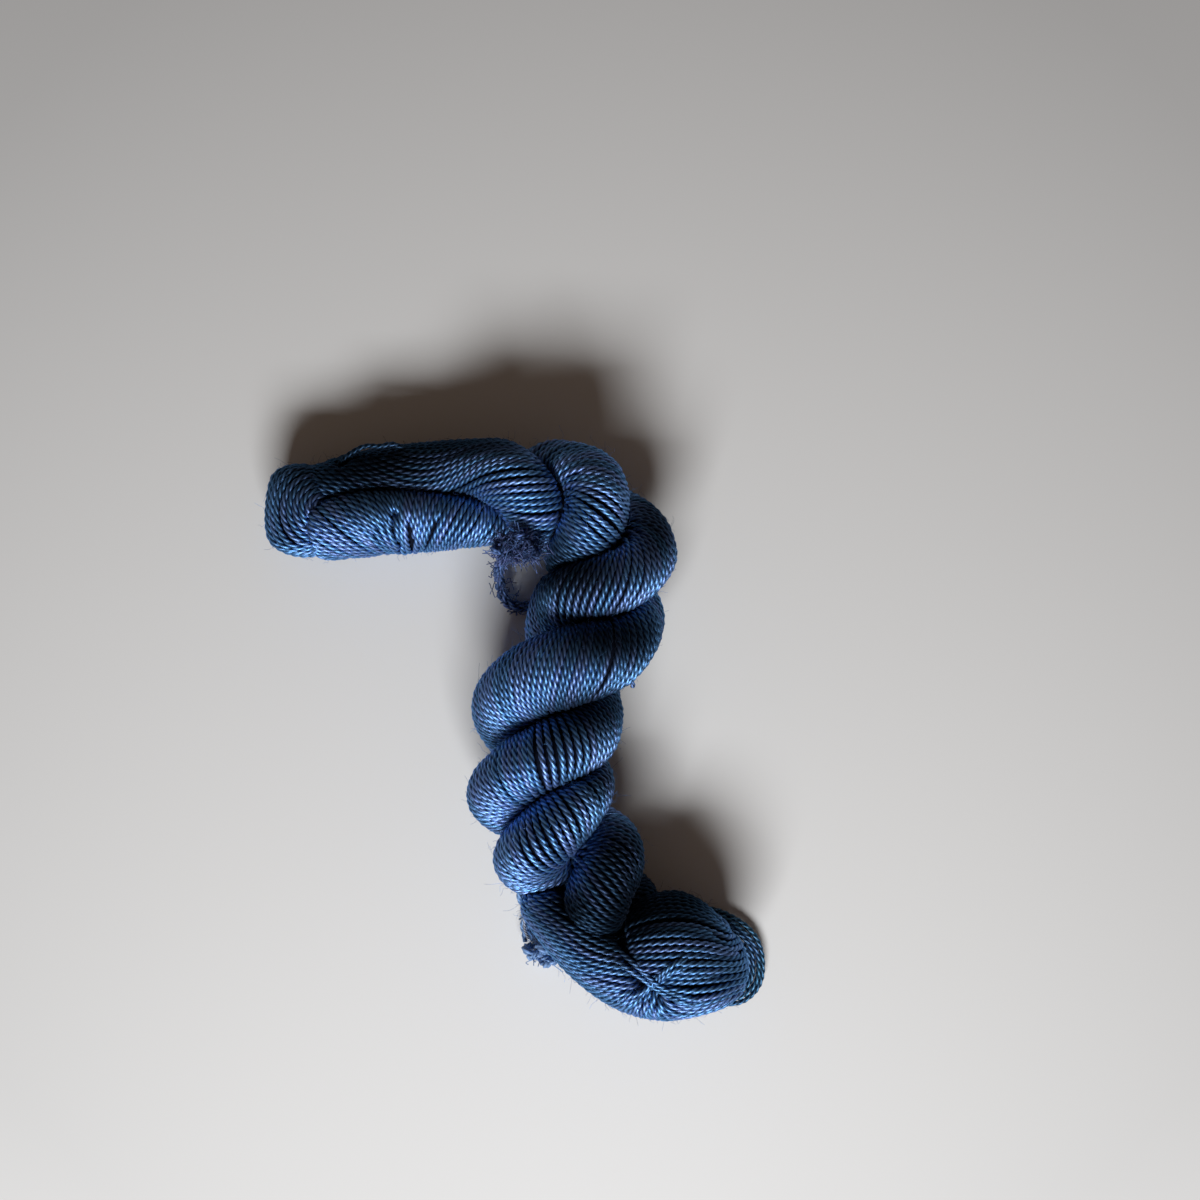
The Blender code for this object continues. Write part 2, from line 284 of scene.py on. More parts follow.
def spaced(path: np.ndarray, step: float) -> np.ndarray:
    """Read a path again at an even spacing.

    Args:
        path: One point a row.
        step: Spacing, in the path's unit.

    Returns:
        The evenly spaced points.
    """
    total = run_along(path)[-1]
    count = max(2, int(round(total / step)) + 1)
    return read_at(np.linspace(0.0, total, count), path, path)


def smoothed(values: np.ndarray, rounds: int) -> np.ndarray:
    """Ease the rows of an array towards their neighbours, with the ends kept.

    Args:
        values: One row for each point along a strand.
        rounds: How many times to ease them.

    Returns:
        The eased rows.
    """
    eased = values.copy()
    for _ in range(rounds):
        eased[1:-1] = 0.25 * eased[:-2] + 0.5 * eased[1:-1] + 0.25 * eased[2:]
    return eased


def keep_above(points: np.ndarray, height: float) -> None:
    """Raise the points that lie lower than a height, in place."""
    points[:, 2] = np.maximum(points[:, 2], height)


def tube_faces(count: int, sides: int, first: int = 0) -> list[tuple[int, ...]]:
    """List the faces of a closed tube, its sides ring by ring and then its ends.

    Args:
        count: How many rings it has.
        sides: Points a ring.
        first: Number of its first point.

    Returns:
        The numbers of each face's points.
    """
    faces = []
    for ring in range(count - 1):
        low = first + ring * sides
        high = low + sides
        for side in range(sides):
            after = (side + 1) % sides
            faces.append((low + side, low + after, high + after, high + side))
    for ring, order in ((0, -1), (count - 1, 1)):
        start = first + ring * sides
        faces.append(tuple(range(start, start + sides))[::order])
    return faces


def painted_shade_at(places: np.ndarray) -> np.ndarray:
    """Work out how dark the painted shade is.

    Args:
        places: Places in millimetres, one a row.

    Returns:
        The darkness at each, from 0 to 1.
    """
    clear = np.ones(len(places))
    for row in PAINTED_SHADE_PATCHES:
        patch = dict(zip(PAINTED_SHADE_COLUMNS, row))
        across = (places[:, 0] - patch["x"]) / patch["reach_x"]
        up = (places[:, 1] - patch["y"]) / patch["reach_y"]
        clear *= 1.0 - patch["share"] * np.exp(-((across ** 2 + up ** 2) ** 1.5))
    return 1.0 - clear


# ---------------------------------------------------------------- shader maths


@dataclass(frozen=True)
class Signal:
    """A shader socket whose operators add Math nodes.

    Attributes:
        graph: The material that it belongs to.
        socket: The socket.
    """

    graph: "Graph"
    socket: bpy.types.NodeSocket

    def _math(self, operation: str, first: object, second: object) -> "Signal":
        """Add one Math node.

        Args:
            operation: The node's operation.
            first: Its first value, a number or a signal.
            second: Its second value, a number or a signal.

        Returns:
            The node's value.
        """
        return self.graph.node(
            "ShaderNodeMath", {"operation": operation}, {0: first, 1: second}, "Value"
        )

    def __add__(self, other: object) -> "Signal":
        """Add a number or a signal."""
        return self._math("ADD", self, other)

    def __radd__(self, other: object) -> "Signal":
        """Add this signal to a number."""
        return self._math("ADD", other, self)

    def __sub__(self, other: object) -> "Signal":
        """Take a number or a signal away."""
        return self._math("SUBTRACT", self, other)

    def __rsub__(self, other: object) -> "Signal":
        """Take this signal away from a number."""
        return self._math("SUBTRACT", other, self)

    def __mul__(self, other: object) -> "Signal":
        """Multiply by a number or a signal."""
        return self._math("MULTIPLY", self, other)

    def __rmul__(self, other: object) -> "Signal":
        """Multiply a number by this signal."""
        return self._math("MULTIPLY", other, self)


class Graph:
    """A material's nodes, every one of them made by the same method.

    Attributes:
        material: The material.
        tree: Its node tree.
    """

    def __init__(self, name: str) -> None:
        """Start an empty material.

        Args:
            name: The material's name.
        """
        self.material = bpy.data.materials.new(name)
        self.material.use_nodes = True
        self.tree = self.material.node_tree
        self.tree.nodes.clear()

    def node(
        self,
        kind: str,
        settings: dict[str, object] | None = None,
        sockets: dict[str | int, object] | None = None,
        output: str | None = None,
    ) -> Signal:
        """Add a node, set it and link it.

        Args:
            kind: The node's type.
            settings: Its properties, and a ramp's stops under "stops".
            sockets: Values or signals for its inputs, by index, name or identifier.
            output: Name or identifier of the output to give back, or None for the first.

        Returns:
            The chosen output.
        """
        made = self.tree.nodes.new(kind)
        for key, value in (settings or {}).items():
            if key == "stops":
                self._set_stops(made.color_ramp, value)
            else:
                setattr(made, key, value)
        for key, value in (sockets or {}).items():
            target = self._socket(made.inputs, key)
            if isinstance(value, Signal):
                self.tree.links.new(value.socket, target)
            else:
                target.default_value = value
        if not made.outputs:
            return Signal(self, None)
        return Signal(self, self._socket(made.outputs, output if output else 0))

    @staticmethod
    def _set_stops(ramp: bpy.types.ColorRamp, stops: Sequence[tuple[float, tuple]]) -> None:
        """Give a colour ramp its stops.

        Args:
            ramp: The ramp.
            stops: Position and colour of each stop.
        """
        while len(ramp.elements) < len(stops):
            ramp.elements.new(1.0)
        for element, (position, colour) in zip(ramp.elements, stops):
            element.position = position
            element.color = colour

    @staticmethod
    def _socket(sockets: bpy.types.bpy_prop_collection, key: str | int) -> bpy.types.NodeSocket:
        """Find a socket by index, identifier or name.

        Args:
            sockets: A node's inputs or outputs.
            key: Index, identifier or name.

        Returns:
            The socket.
        """
        if isinstance(key, int):
            return sockets[key]
        for socket in sockets:
            if socket.identifier == key:
                return socket
        return sockets[key]

    def mix(self, factor: object, first: object, second: object, blend: str = "MIX") -> Signal:
        """Mix two colours.

        Args:
            factor: Share of the second colour.
            first: The first colour.
            second: The second colour.
            blend: The node's blend type.

        Returns:
            The mixed colour.
        """
        return self.node(
            "ShaderNodeMix",
            {"data_type": "RGBA", "blend_type": blend},
            {"Factor_Float": factor, "A_Color": first, "B_Color": second},
            "Result_Color",
        )

    def noise(self, place: Signal, scale: float, detail: float, roughness: float = 0.5) -> Signal:
        """Add a noise texture.

        Args:
            place: Where it is read.
            scale: Repeats in a unit of the place.
            detail: How many finer layers it has.
            roughness: Strength of the finer layers.

        Returns:
            The noise, about 0.5 on average.
        """
        return self.node(
            "ShaderNodeTexNoise",
            {"noise_dimensions": "3D"},
            {"Vector": place, "Scale": scale, "Detail": detail, "Roughness": roughness},
            "Fac",
        )

    def grey(self, value: Signal) -> Signal:
        """Turn a value into the grey of that value."""
        return self.node(
            "ShaderNodeCombineColor", None, {"Red": value, "Green": value, "Blue": value}, "Color"
        )

    def place(self) -> Signal:
        """Give the place on the object, in metres."""
        return self.node("ShaderNodeTexCoord", None, None, "Object")

    def shade(self, name: str) -> Signal:
        """Read one of the shades that the mesh carries."""
        return self.node("ShaderNodeAttribute", {"attribute_name": name}, None, "Fac")

    def scaled(self, place: Signal, factors: Triple) -> Signal:
        """Stretch a place by one factor for each axis."""
        return self.node(
            "ShaderNodeVectorMath", {"operation": "MULTIPLY"}, {0: place, 1: factors}, "Vector"
        )

    def between(self, value: Signal, low: float, high: float) -> Signal:
        """Keep a value between two others."""
        return self.node("ShaderNodeClamp", None, {"Value": value, "Min": low, "Max": high})

    def bump(self, height: Signal, strength: float, distance: float) -> Signal:
        """Turn a height into a bumpy normal."""
        sockets = {"Strength": strength, "Distance": distance, "Height": height}
        return self.node("ShaderNodeBump", None, sockets, "Normal")

    def finish(self, sockets: dict[str | int, object]) -> bpy.types.Material:
        """Close the material with a Principled shader.

        Args:
            sockets: Values or signals of the shader's inputs.

        Returns:
            The material.
        """
        shader = self.node("ShaderNodeBsdfPrincipled", None, sockets, "BSDF")
        self.node("ShaderNodeOutputMaterial", None, {"Surface": shader})
        return self.material


# ---------------------------------------------------------------- finishes


@dataclass(frozen=True)
class YarnFinish:
    """Plied yarn: dyed unevenly, with painted shade between its plies and in patches, painted
    glints on single fibres and a soft sheen.

    Attributes:
        name: Its name.
        deep: Colour where the tone is low.
        usual: Colour of most of it.
        violet: Colour of the stretches that were dyed another way.
        light: Colour of the painted glints, single fibres painted lighter as if they caught the
            light.
        groove_shade: How dark the painted shade between the plies is.
        painted_shade_share: How much of the hank's painted shade patches it takes.
        painted_shade_strength: How dark the full painted shade is.
        cloud_scale: Dye clouds in a metre.
        cloud_weight: What a cloud adds to the tone.
        tone_weight: What a length's own tone adds.
        tone_shift: What is taken off the sum.
        fibre_stretch: Repeats of the fibres in a millimetre along and once round.
        glint_from: Fibre height that a painted glint starts at.
        glint_gain: How fast a painted glint gets stronger above it.
        glint_share: How strong a painted glint may get.
        roughness: Least roughness.
        rough_fibres: What the fibres add to it.
        gloss: How metallic the shine is.
        sheen: Strength of the soft sheen.
    """

    name: str
    deep: Colour = (0.100, 0.270, 0.620, 1.0)
    usual: Colour = (0.165, 0.430, 0.900, 1.0)
    violet: Colour = (0.235, 0.380, 0.860, 1.0)
    light: Colour = (0.54, 0.82, 1.0, 1.0)
    groove_shade: float = 0.90
    painted_shade_share: float = 1.0
    painted_shade_strength: float = 0.96
    cloud_scale: float = 55.0
    cloud_weight: float = 0.9
    tone_weight: float = 0.5
    tone_shift: float = 0.2
    fibre_stretch: Triple = (0.55, 26.0, 1.0)
    glint_from: float = 0.42
    glint_gain: float = 1.5
    glint_share: float = 0.55
    roughness: float = 0.36
    rough_fibres: float = 0.2
    gloss: float = 0.90
    sheen: float = 0.06

    def material(self) -> bpy.types.Material:
        """Build the finish.

        Returns:
            The material.
        """
        graph = Graph(self.name)
        lie = graph.node("ShaderNodeUVMap", {"uv_map": "fibre_lie"}, None, "UV")
        cloud = graph.noise(graph.place(), self.cloud_scale, 2.0)
        fibres = graph.noise(graph.scaled(lie, self.fibre_stretch), 1.0, 3.0, 0.6)
        tone = graph.shade("tone")
        ground = graph.node(
            "ShaderNodeValToRGB",
            {"stops": (
                (0.20, self.deep), (0.45, self.usual), (0.62, self.violet), (0.85, self.usual),
            )},
            {"Fac": cloud * self.cloud_weight + tone * self.tone_weight - self.tone_shift},
            "Color",
        )
        # Painted glints: single fibres are painted lighter, as if they caught the light.
        painted_glint = (fibres - self.glint_from) * self.glint_gain
        coloured = graph.mix(painted_glint * self.glint_share, ground, self.light)
        # Painted shade between the plies, darker the deeper in the groove.
        groove = 1.0 - graph.shade("groove") * self.groove_shade
        # Painted shade in patches where the light falls least.
        dye = 1.0 - graph.shade("dye") * self.painted_shade_share * self.painted_shade_strength
        shaded = graph.mix(1.0, coloured, graph.grey(groove * dye), "MULTIPLY")
        return graph.finish({
            "Base Color": shaded,
            "Roughness": self.roughness + fibres * self.rough_fibres,
            "Metallic": self.gloss,
            "Sheen Weight": self.sheen,
            "Sheen Roughness": 0.35,
            "Sheen Tint": (0.45, 0.60, 1.0, 1.0),
            "Specular IOR Level": 0.50,
            "Specular Tint": (0.50, 0.72, 1.0, 1.0),
            "Normal": graph.bump(fibres, 0.35, 0.00025),
        })


@dataclass(frozen=True)
class CoreFinish:
    """The yarn deep inside, painted near black as the shade between the strands, the only place
    where it shows.

    Attributes:
        name: Its name.
        dark: Colour of its darker grains, near black as painted shade.
        light: Colour of its lighter grains, near black as painted shade.
        grain: Grains in a metre.
    """

    name: str = "inner_yarn"
    dark: Colour = (0.0015, 0.0025, 0.007, 1.0)
    light: Colour = (0.005, 0.008, 0.020, 1.0)
    grain: float = 900.0

    def material(self) -> bpy.types.Material:
        """Build the finish.

        Returns:
            The material.
        """
        graph = Graph(self.name)
        wool = graph.noise(graph.place(), self.grain, 3.0)
        return graph.finish({
            "Base Color": graph.mix(wool, self.dark, self.light),
            "Roughness": 0.95,
            "Specular IOR Level": 0.08,
            "Normal": graph.bump(wool, 0.5, 0.0004),
        })


@dataclass(frozen=True)
class FloorFinish:
    """A plain pale sheet with painted shade: darker away from the middle and towards +Y, as a
    painted falloff of light, and darker towards the key light so that the lamp doesn't burn it
    out.

    Attributes:
        name: Its name.
        cool: Colour of its cooler clouds.
        warm: Colour of its warmer clouds.
        middle: Place under the middle of the picture.
        full: Brightness before anything is taken off.
        edge_limits: Squares of the distance from the middle that its painted falloff of light
            spans.
        edge_shade: What it loses for each unit of them.
        back_limits: Values of y that its painted falloff of light spans.
        back_shade: What it loses for each metre of them.
        front_limits: Values of y towards the key light that its painted shade, which keeps the
            lamp from burning it out, spans.
        front_shade: What it loses for each metre of them.
    """

    name: str = "pale_floor"
    cool: Colour = (0.71, 0.705, 0.70, 1.0)
    warm: Colour = (0.75, 0.745, 0.74, 1.0)
    middle: Triple = (0.027, 0.036, 0.0)
    full: float = 1.10
    edge_limits: tuple[float, float] = (0.0, 0.05)
    edge_shade: float = 3.0
    back_limits: tuple[float, float] = (-0.15, 0.22)
    back_shade: float = 0.55
    front_limits: tuple[float, float] = (-0.85, -0.20)
    front_shade: float = 0.62

    def material(self) -> bpy.types.Material:
        """Build the finish.

        Returns:
            The material.
        """
        graph = Graph(self.name)
        place = graph.place()
        sheet = graph.mix(graph.noise(place, 3.0, 2.0), self.cool, self.warm)
        offset = graph.node(
            "ShaderNodeVectorMath", {"operation": "SUBTRACT"}, {0: place, 1: self.middle}, "Vector"
        )
        reach = graph.node(
            "ShaderNodeVectorMath", {"operation": "DOT_PRODUCT"}, {0: offset, 1: offset}, "Value"
        )
        rise = graph.node("ShaderNodeSeparateXYZ", None, {"Vector": place}, "Y")
        edge = graph.between(reach, *self.edge_limits)
        back = graph.between(rise, *self.back_limits)
        front = graph.between(rise, *self.front_limits)
        # Painted shade: darker away from the middle and towards +Y as a painted falloff of light,
        # and darker towards the key light so that the lamp doesn't burn it out.
        lit = self.full - edge * self.edge_shade - back * self.back_shade
        lit = lit + front * self.front_shade
        colour = graph.mix(1.0, sheet, graph.grey(lit), "MULTIPLY")
        return graph.finish({"Base Color": colour, "Roughness": 0.8})


NAVY_YARN = YarnFinish("navy_yarn")
WOOLLY_TIE_YARN = YarnFinish(
    "woolly_tie_yarn",
    deep=(0.050, 0.100, 0.310, 1.0),
    usual=(0.105, 0.200, 0.530, 1.0),
    violet=(0.170, 0.200, 0.530, 1.0),
    light=(0.50, 0.74, 0.95, 1.0),
    gloss=0.50,
    painted_shade_share=0.3,
)
PALE_TIE_YARN = YarnFinish(
    "pale_tie_yarn",
    deep=(0.110, 0.240, 0.500, 1.0),
    usual=(0.160, 0.330, 0.640, 1.0),
    violet=(0.190, 0.310, 0.600, 1.0),
    light=(0.50, 0.74, 0.94, 1.0),
    groove_shade=0.62,
    gloss=0.08,
    painted_shade_share=0.0,
)
FLECKED_YARN = YarnFinish(
    "flecked_yarn",
    deep=(0.045, 0.120, 0.260, 1.0),
    usual=(0.055, 0.190, 0.350, 1.0),
    violet=(0.070, 0.160, 0.360, 1.0),
    light=(0.46, 0.68, 0.84, 1.0),
)
PALE_THREAD = YarnFinish(
    "pale_thread",
    deep=(0.42, 0.50, 0.62, 1.0),
    usual=(0.62, 0.70, 0.80, 1.0),
    violet=(0.66, 0.70, 0.84, 1.0),
    light=(0.90, 0.94, 1.0, 1.0),
    gloss=0.2,
    painted_shade_share=0.0,
)


# ---------------------------------------------------------------- yarn as mesh


@dataclass(frozen=True)
class Gauge:
    """Build of a yarn: its size, its plies and how they are twisted.

    Attributes:
        radius: Radius over the plies, in millimetres.
        plies: How many plies it has.
        points_a_ply: Points of a ring that each ply gets.
        groove: Depth between the plies as a share of the radius.
        pitch: Length of one full twist, in millimetres.
    """

    radius: float = 0.90
    plies: int = 3
    points_a_ply: int = 4
    groove: float = 0.36
    pitch: float = 7.2

    def profile(self) -> tuple[np.ndarray, np.ndarray, np.ndarray]:
        """Work out one ring of the yarn.

        Returns:
            Angles, radii and depth in the groove (0 to 1) of the ring's points.
        """
        count = self.plies * self.points_a_ply
        angle = 2.0 * math.pi * np.arange(count) / count
        depth = 0.5 - 0.5 * np.cos(self.plies * angle)
        radii = self.radius * (1.0 - self.groove * depth)
        return angle, radii, depth


@dataclass
class YarnMesh:
    """Gathers lengths of yarn and builds them as one mesh of plied tubes.

    Attributes:
        name: Name of the object and its mesh.
        gauge: Build of the yarn.
        start_half_turns: Twist at the start of a length of tone one, in half turns.
        row_height: Height of a row of the bake square, in times round the yarn.
        strip_stretch: Room across for a strip, as a share of its length.
        strip_gap: Room after a strip, in millimetres.
        square_slack: Side of the first square tried, as a share of a full one.
        square_spare: What is added to it, as a share of the longest length.
        square_growth: How much larger each further try is.
        lengths: Centreline, direction off it and tone of each length.
    """

    name: str
    gauge: Gauge = field(default_factory=Gauge)
    start_half_turns: float = 6.0
    row_height: float = 1.08
    strip_stretch: float = 1.01
    strip_gap: float = 0.3
    square_slack: float = 1.06
    square_spare: float = 0.5
    square_growth: float = 1.03
    lengths: list[tuple[np.ndarray, np.ndarray, float]] = field(default_factory=list)

    def add(self, centre: np.ndarray, outward: np.ndarray, tone: float) -> None:
        """Add one length: its centreline, a direction off it at each point, and its tone."""
        self.lengths.append((centre, outward, tone))

    def summary(self) -> str:
        """Say how much yarn the mesh holds.

        Returns:
            Its count of lengths, their metres and their triangles.
        """
        metres = sum(run_along(centre)[-1] for centre, _, _ in self.lengths) * MM
        rings = sum(len(centre) for centre, _, _ in self.lengths)
        triangles = 2 * rings * self.gauge.plies * self.gauge.points_a_ply
        return f"{len(self.lengths)} lengths, {metres:.2f} m, {triangles} triangles"

    def build(self, material: bpy.types.Material) -> bpy.types.Object:
        """Build the mesh.

        Args:
            material: The yarn's finish.

        Returns:
            The new object, in metres.
        """
        angle, radii, depth = self.gauge.profile()
        count = len(angle)
        points, faces, lies, bakes = [], [], [], []
        tones, grooves, painted_shades = [], [], []
        first = 0
        strips = self._strips()
        for (centre, outward, tone), (scale, shift) in zip(self.lengths, strips):
            run = run_along(centre)
            tangent = unit(np.gradient(centre, axis=0))
            normal = unit(outward - np.sum(outward * tangent, axis=1, keepdims=True) * tangent)
            side = np.cross(tangent, normal)
            start = self.start_half_turns * tone * math.pi
            turn = start - 2.0 * math.pi * run[:, None] / self.gauge.pitch + angle[None, :]
            ring = (
                centre[:, None, :]
                + (np.cos(turn) * radii)[:, :, None] * normal[:, None, :]
                + (np.sin(turn) * radii)[:, :, None] * side[:, None, :]
            )
            rings = len(centre)
            points.append(ring.reshape(-1, 3))
            tones.append(np.full(rings * count, tone))
            # Depth in the groove, for the painted shade between the plies.
            grooves.append(np.tile(depth, rings))
            # Painted shade patches where the light falls least.
            painted_shades.append(np.repeat(painted_shade_at(centre), count))
            row = np.arange(rings - 1)[:, None] * count + first
            here = np.arange(count)[None, :]
            after = (here + 1) % count
            quads = np.stack(
                [row + here, row + after, row + count + after, row + count + here], axis=-1
            ).reshape(-1, 4)
            faces.append(quads)
            low, high = run[:-1, None], run[1:, None]
            left, right = here / count, (here + 1) / count
            lie = self._corners(low, high, left, right)
            lies.append(lie)
            bakes.append(lie * scale + shift)
            first += rings * count
        shades = {"tone": tones, "groove": grooves, "dye": painted_shades}
        return self._object(points, faces, shades, lies, bakes, material)

    @staticmethod
    def _corners(
        low: np.ndarray, high: np.ndarray, left: np.ndarray, right: np.ndarray
    ) -> np.ndarray:
        """Give each quad's corners as distance along and share of the way round.

        Args:
            low: Distance along of each quad's first side.
            high: Distance along of its far side.
            left: Share of the way round of its first side.
            right: Share of the way round of its far side.

        Returns:
            Four corners a quad, two numbers each.
        """
        shape = np.broadcast(low, left).shape
        along = np.stack([np.broadcast_to(v, shape) for v in (low, low, high, high)], axis=-1)
        around = np.stack([np.broadcast_to(v, shape) for v in (left, right, right, left)], axis=-1)
        return np.stack([along, around], axis=-1).reshape(-1, 4, 2)

    def _strips(self) -> list[tuple[np.ndarray, np.ndarray]]:
        """Lay the lengths side by side as strips in a square, longest first.

        Returns:
            For each length, the scale and the shift from its own coordinates to the square.
        """
        around = 2.0 * math.pi * self.gauge.radius
        runs = [run_along(centre)[-1] for centre, _, _ in self.lengths]
        order = sorted(range(len(runs)), key=lambda index: -runs[index])
        side = math.sqrt(sum(runs) * around) * self.square_slack + max(runs) * self.square_spare
        while True:
            places, across, up = {}, 0.0, 0.0
            for index in order:
                if across + runs[index] > side:
                    across = 0.0
                    up += around * self.row_height
                places[index] = (across, up)
                across += runs[index] * self.strip_stretch + self.strip_gap
            if up + around <= side:
                break
            side *= self.square_growth
        scale = np.array([1.0, around]) / side
        return [(scale, np.array(places[index]) / side) for index in range(len(runs))]

    def _object(
        self,
        points: list[np.ndarray],
        faces: list[np.ndarray],
        shades: dict[str, list[np.ndarray]],
        lies: list[np.ndarray],
        bakes: list[np.ndarray],
        material: bpy.types.Material,
    ) -> bpy.types.Object:
        """Turn the gathered arrays into an object with closed tube ends.

        Args:
            points: Ring points of each length, in millimetres.
            faces: Quads of each length.
            shades: Each shade's name with its value at each point.
            lies: Coordinates along and around at each quad's corners.
            bakes: Coordinates in the bake square at each quad's corners.
            material: The finish.

        Returns:
            The object.
        """
        count = self.gauge.plies * self.gauge.points_a_ply
        place = np.vstack(points) * MM
        quads = np.vstack(faces)
        caps, first = [], 0
        for block in points:
            last = first + len(block) - count
            caps.append(np.arange(first + count - 1, first - 1, -1))
            caps.append(np.arange(last, last + count))
            first += len(block)
        corner = np.concatenate([quads.ravel(), np.concatenate(caps)]).astype(np.int32)
        starts = np.concatenate([
            np.arange(len(quads)) * 4,
            len(quads) * 4 + np.arange(len(caps)) * count,
        ]).astype(np.int32)
        mesh = bpy.data.meshes.new(self.name)
        mesh.vertices.add(len(place))
        mesh.vertices.foreach_set("co", place.astype(np.float32).ravel())
        mesh.loops.add(len(corner))
        mesh.loops.foreach_set("vertex_index", corner)
        mesh.polygons.add(len(starts))
        mesh.polygons.foreach_set("loop_start", starts)
        mesh.update(calc_edges=True)
        mesh.shade_smooth()
        for key, values in shades.items():
            attribute = mesh.attributes.new(key, "FLOAT", "POINT")
            attribute.data.foreach_set("value", np.concatenate(values).astype(np.float32))
        cap_corners = np.zeros((len(caps) * count, 2))
        for key, values in (("fibre_lie", lies), ("OFBake", bakes)):
            layer = mesh.uv_layers.new(name=key)
            coordinates = np.vstack([np.vstack(values).reshape(-1, 2), cap_corners])
            layer.data.foreach_set("uv", coordinates.astype(np.float32).ravel())
        mesh.materials.append(material)
        item = bpy.data.objects.new(self.name, mesh)
        bpy.context.collection.objects.link(item)
        return item


@dataclass
class Fibres:
    """Fine fibres that stand out of the yarn, each one a thin bent filament.

    Attributes:
        name: Name of the object.
        radius: Radius of a fibre, in millimetres.
        shortest: Shortest reach, in millimetres.
        longest: Longest reach, in millimetres.
        wave: Size of the small waves, as a share of the reach.
        bend: Size of the first bend, as a share of the reach.
        curl: Size of the bend near the tip, as a share of the reach.
        waves: Least and most waves, in radians over the fibre.
        tones: Least and greatest tone.
        points: Points along a fibre.
        seed: Seed of the draws.
        facing: Direction that the rings' first points are turned to.
        roots: Start of each fibre and the way that it sets off.
    """

    name: str
    radius: float = 0.06
    shortest: float = 0.7
    longest: float = 1.9
    wave: float = 0.22
    bend: float = 0.7
    curl: float = 0.5
    waves: tuple[float, float] = (4.0, 9.0)
    tones: tuple[float, float] = (0.2, 1.0)
    points: int = 8
    seed: int = 71
    facing: Triple = (0.31, 0.22, 0.92)
    roots: list[tuple[np.ndarray, np.ndarray]] = field(default_factory=list)

    def stand_at(self, root: np.ndarray, way: np.ndarray) -> None:
        """Add one fibre, by where it leaves the yarn and the way that it sets off."""
        self.roots.append((root, way))

    def build(self, material: bpy.types.Material) -> bpy.types.Object:
        """Build the fibres.

        Args:
            material: The finish.

        Returns:
            The object.
        """
        random = np.random.default_rng(self.seed)
        fine = Gauge(radius=self.radius, plies=1, points_a_ply=3, groove=0.0, pitch=500.0)
        mesh = YarnMesh(self.name, fine)
        share = np.linspace(0.0, 1.0, self.points)[:, None]
        sizes = np.array([[self.bend], [self.curl], [self.wave]])
        for root, way in self.roots:
            reach = random.uniform(self.shortest, self.longest)
            bend, curl, ring = random.normal(size=(3, 3)) * sizes
            swirl = ring * np.sin(share * random.uniform(*self.waves))
            line = root + reach * (way * share + bend * share ** 2 + curl * share ** 3 + swirl)
            keep_above(line, self.radius + LOOSE_GAP)
            outward = np.tile(np.array(self.facing), (self.points, 1))
            mesh.add(line, outward, float(random.uniform(*self.tones)))
        return mesh.build(material)


# ---------------------------------------------------------------- bundle shapes


class LayRule(Enum):
    """How the yarn runs over a bundle."""

    ALONG = "at its lay angle to the bundle's own run"
    DRAWN = "the same, but drawn in towards the pinch"
    TURNING = "round the middle of the end turn"
    FANNED = "out from the fan's source or from the pinch"


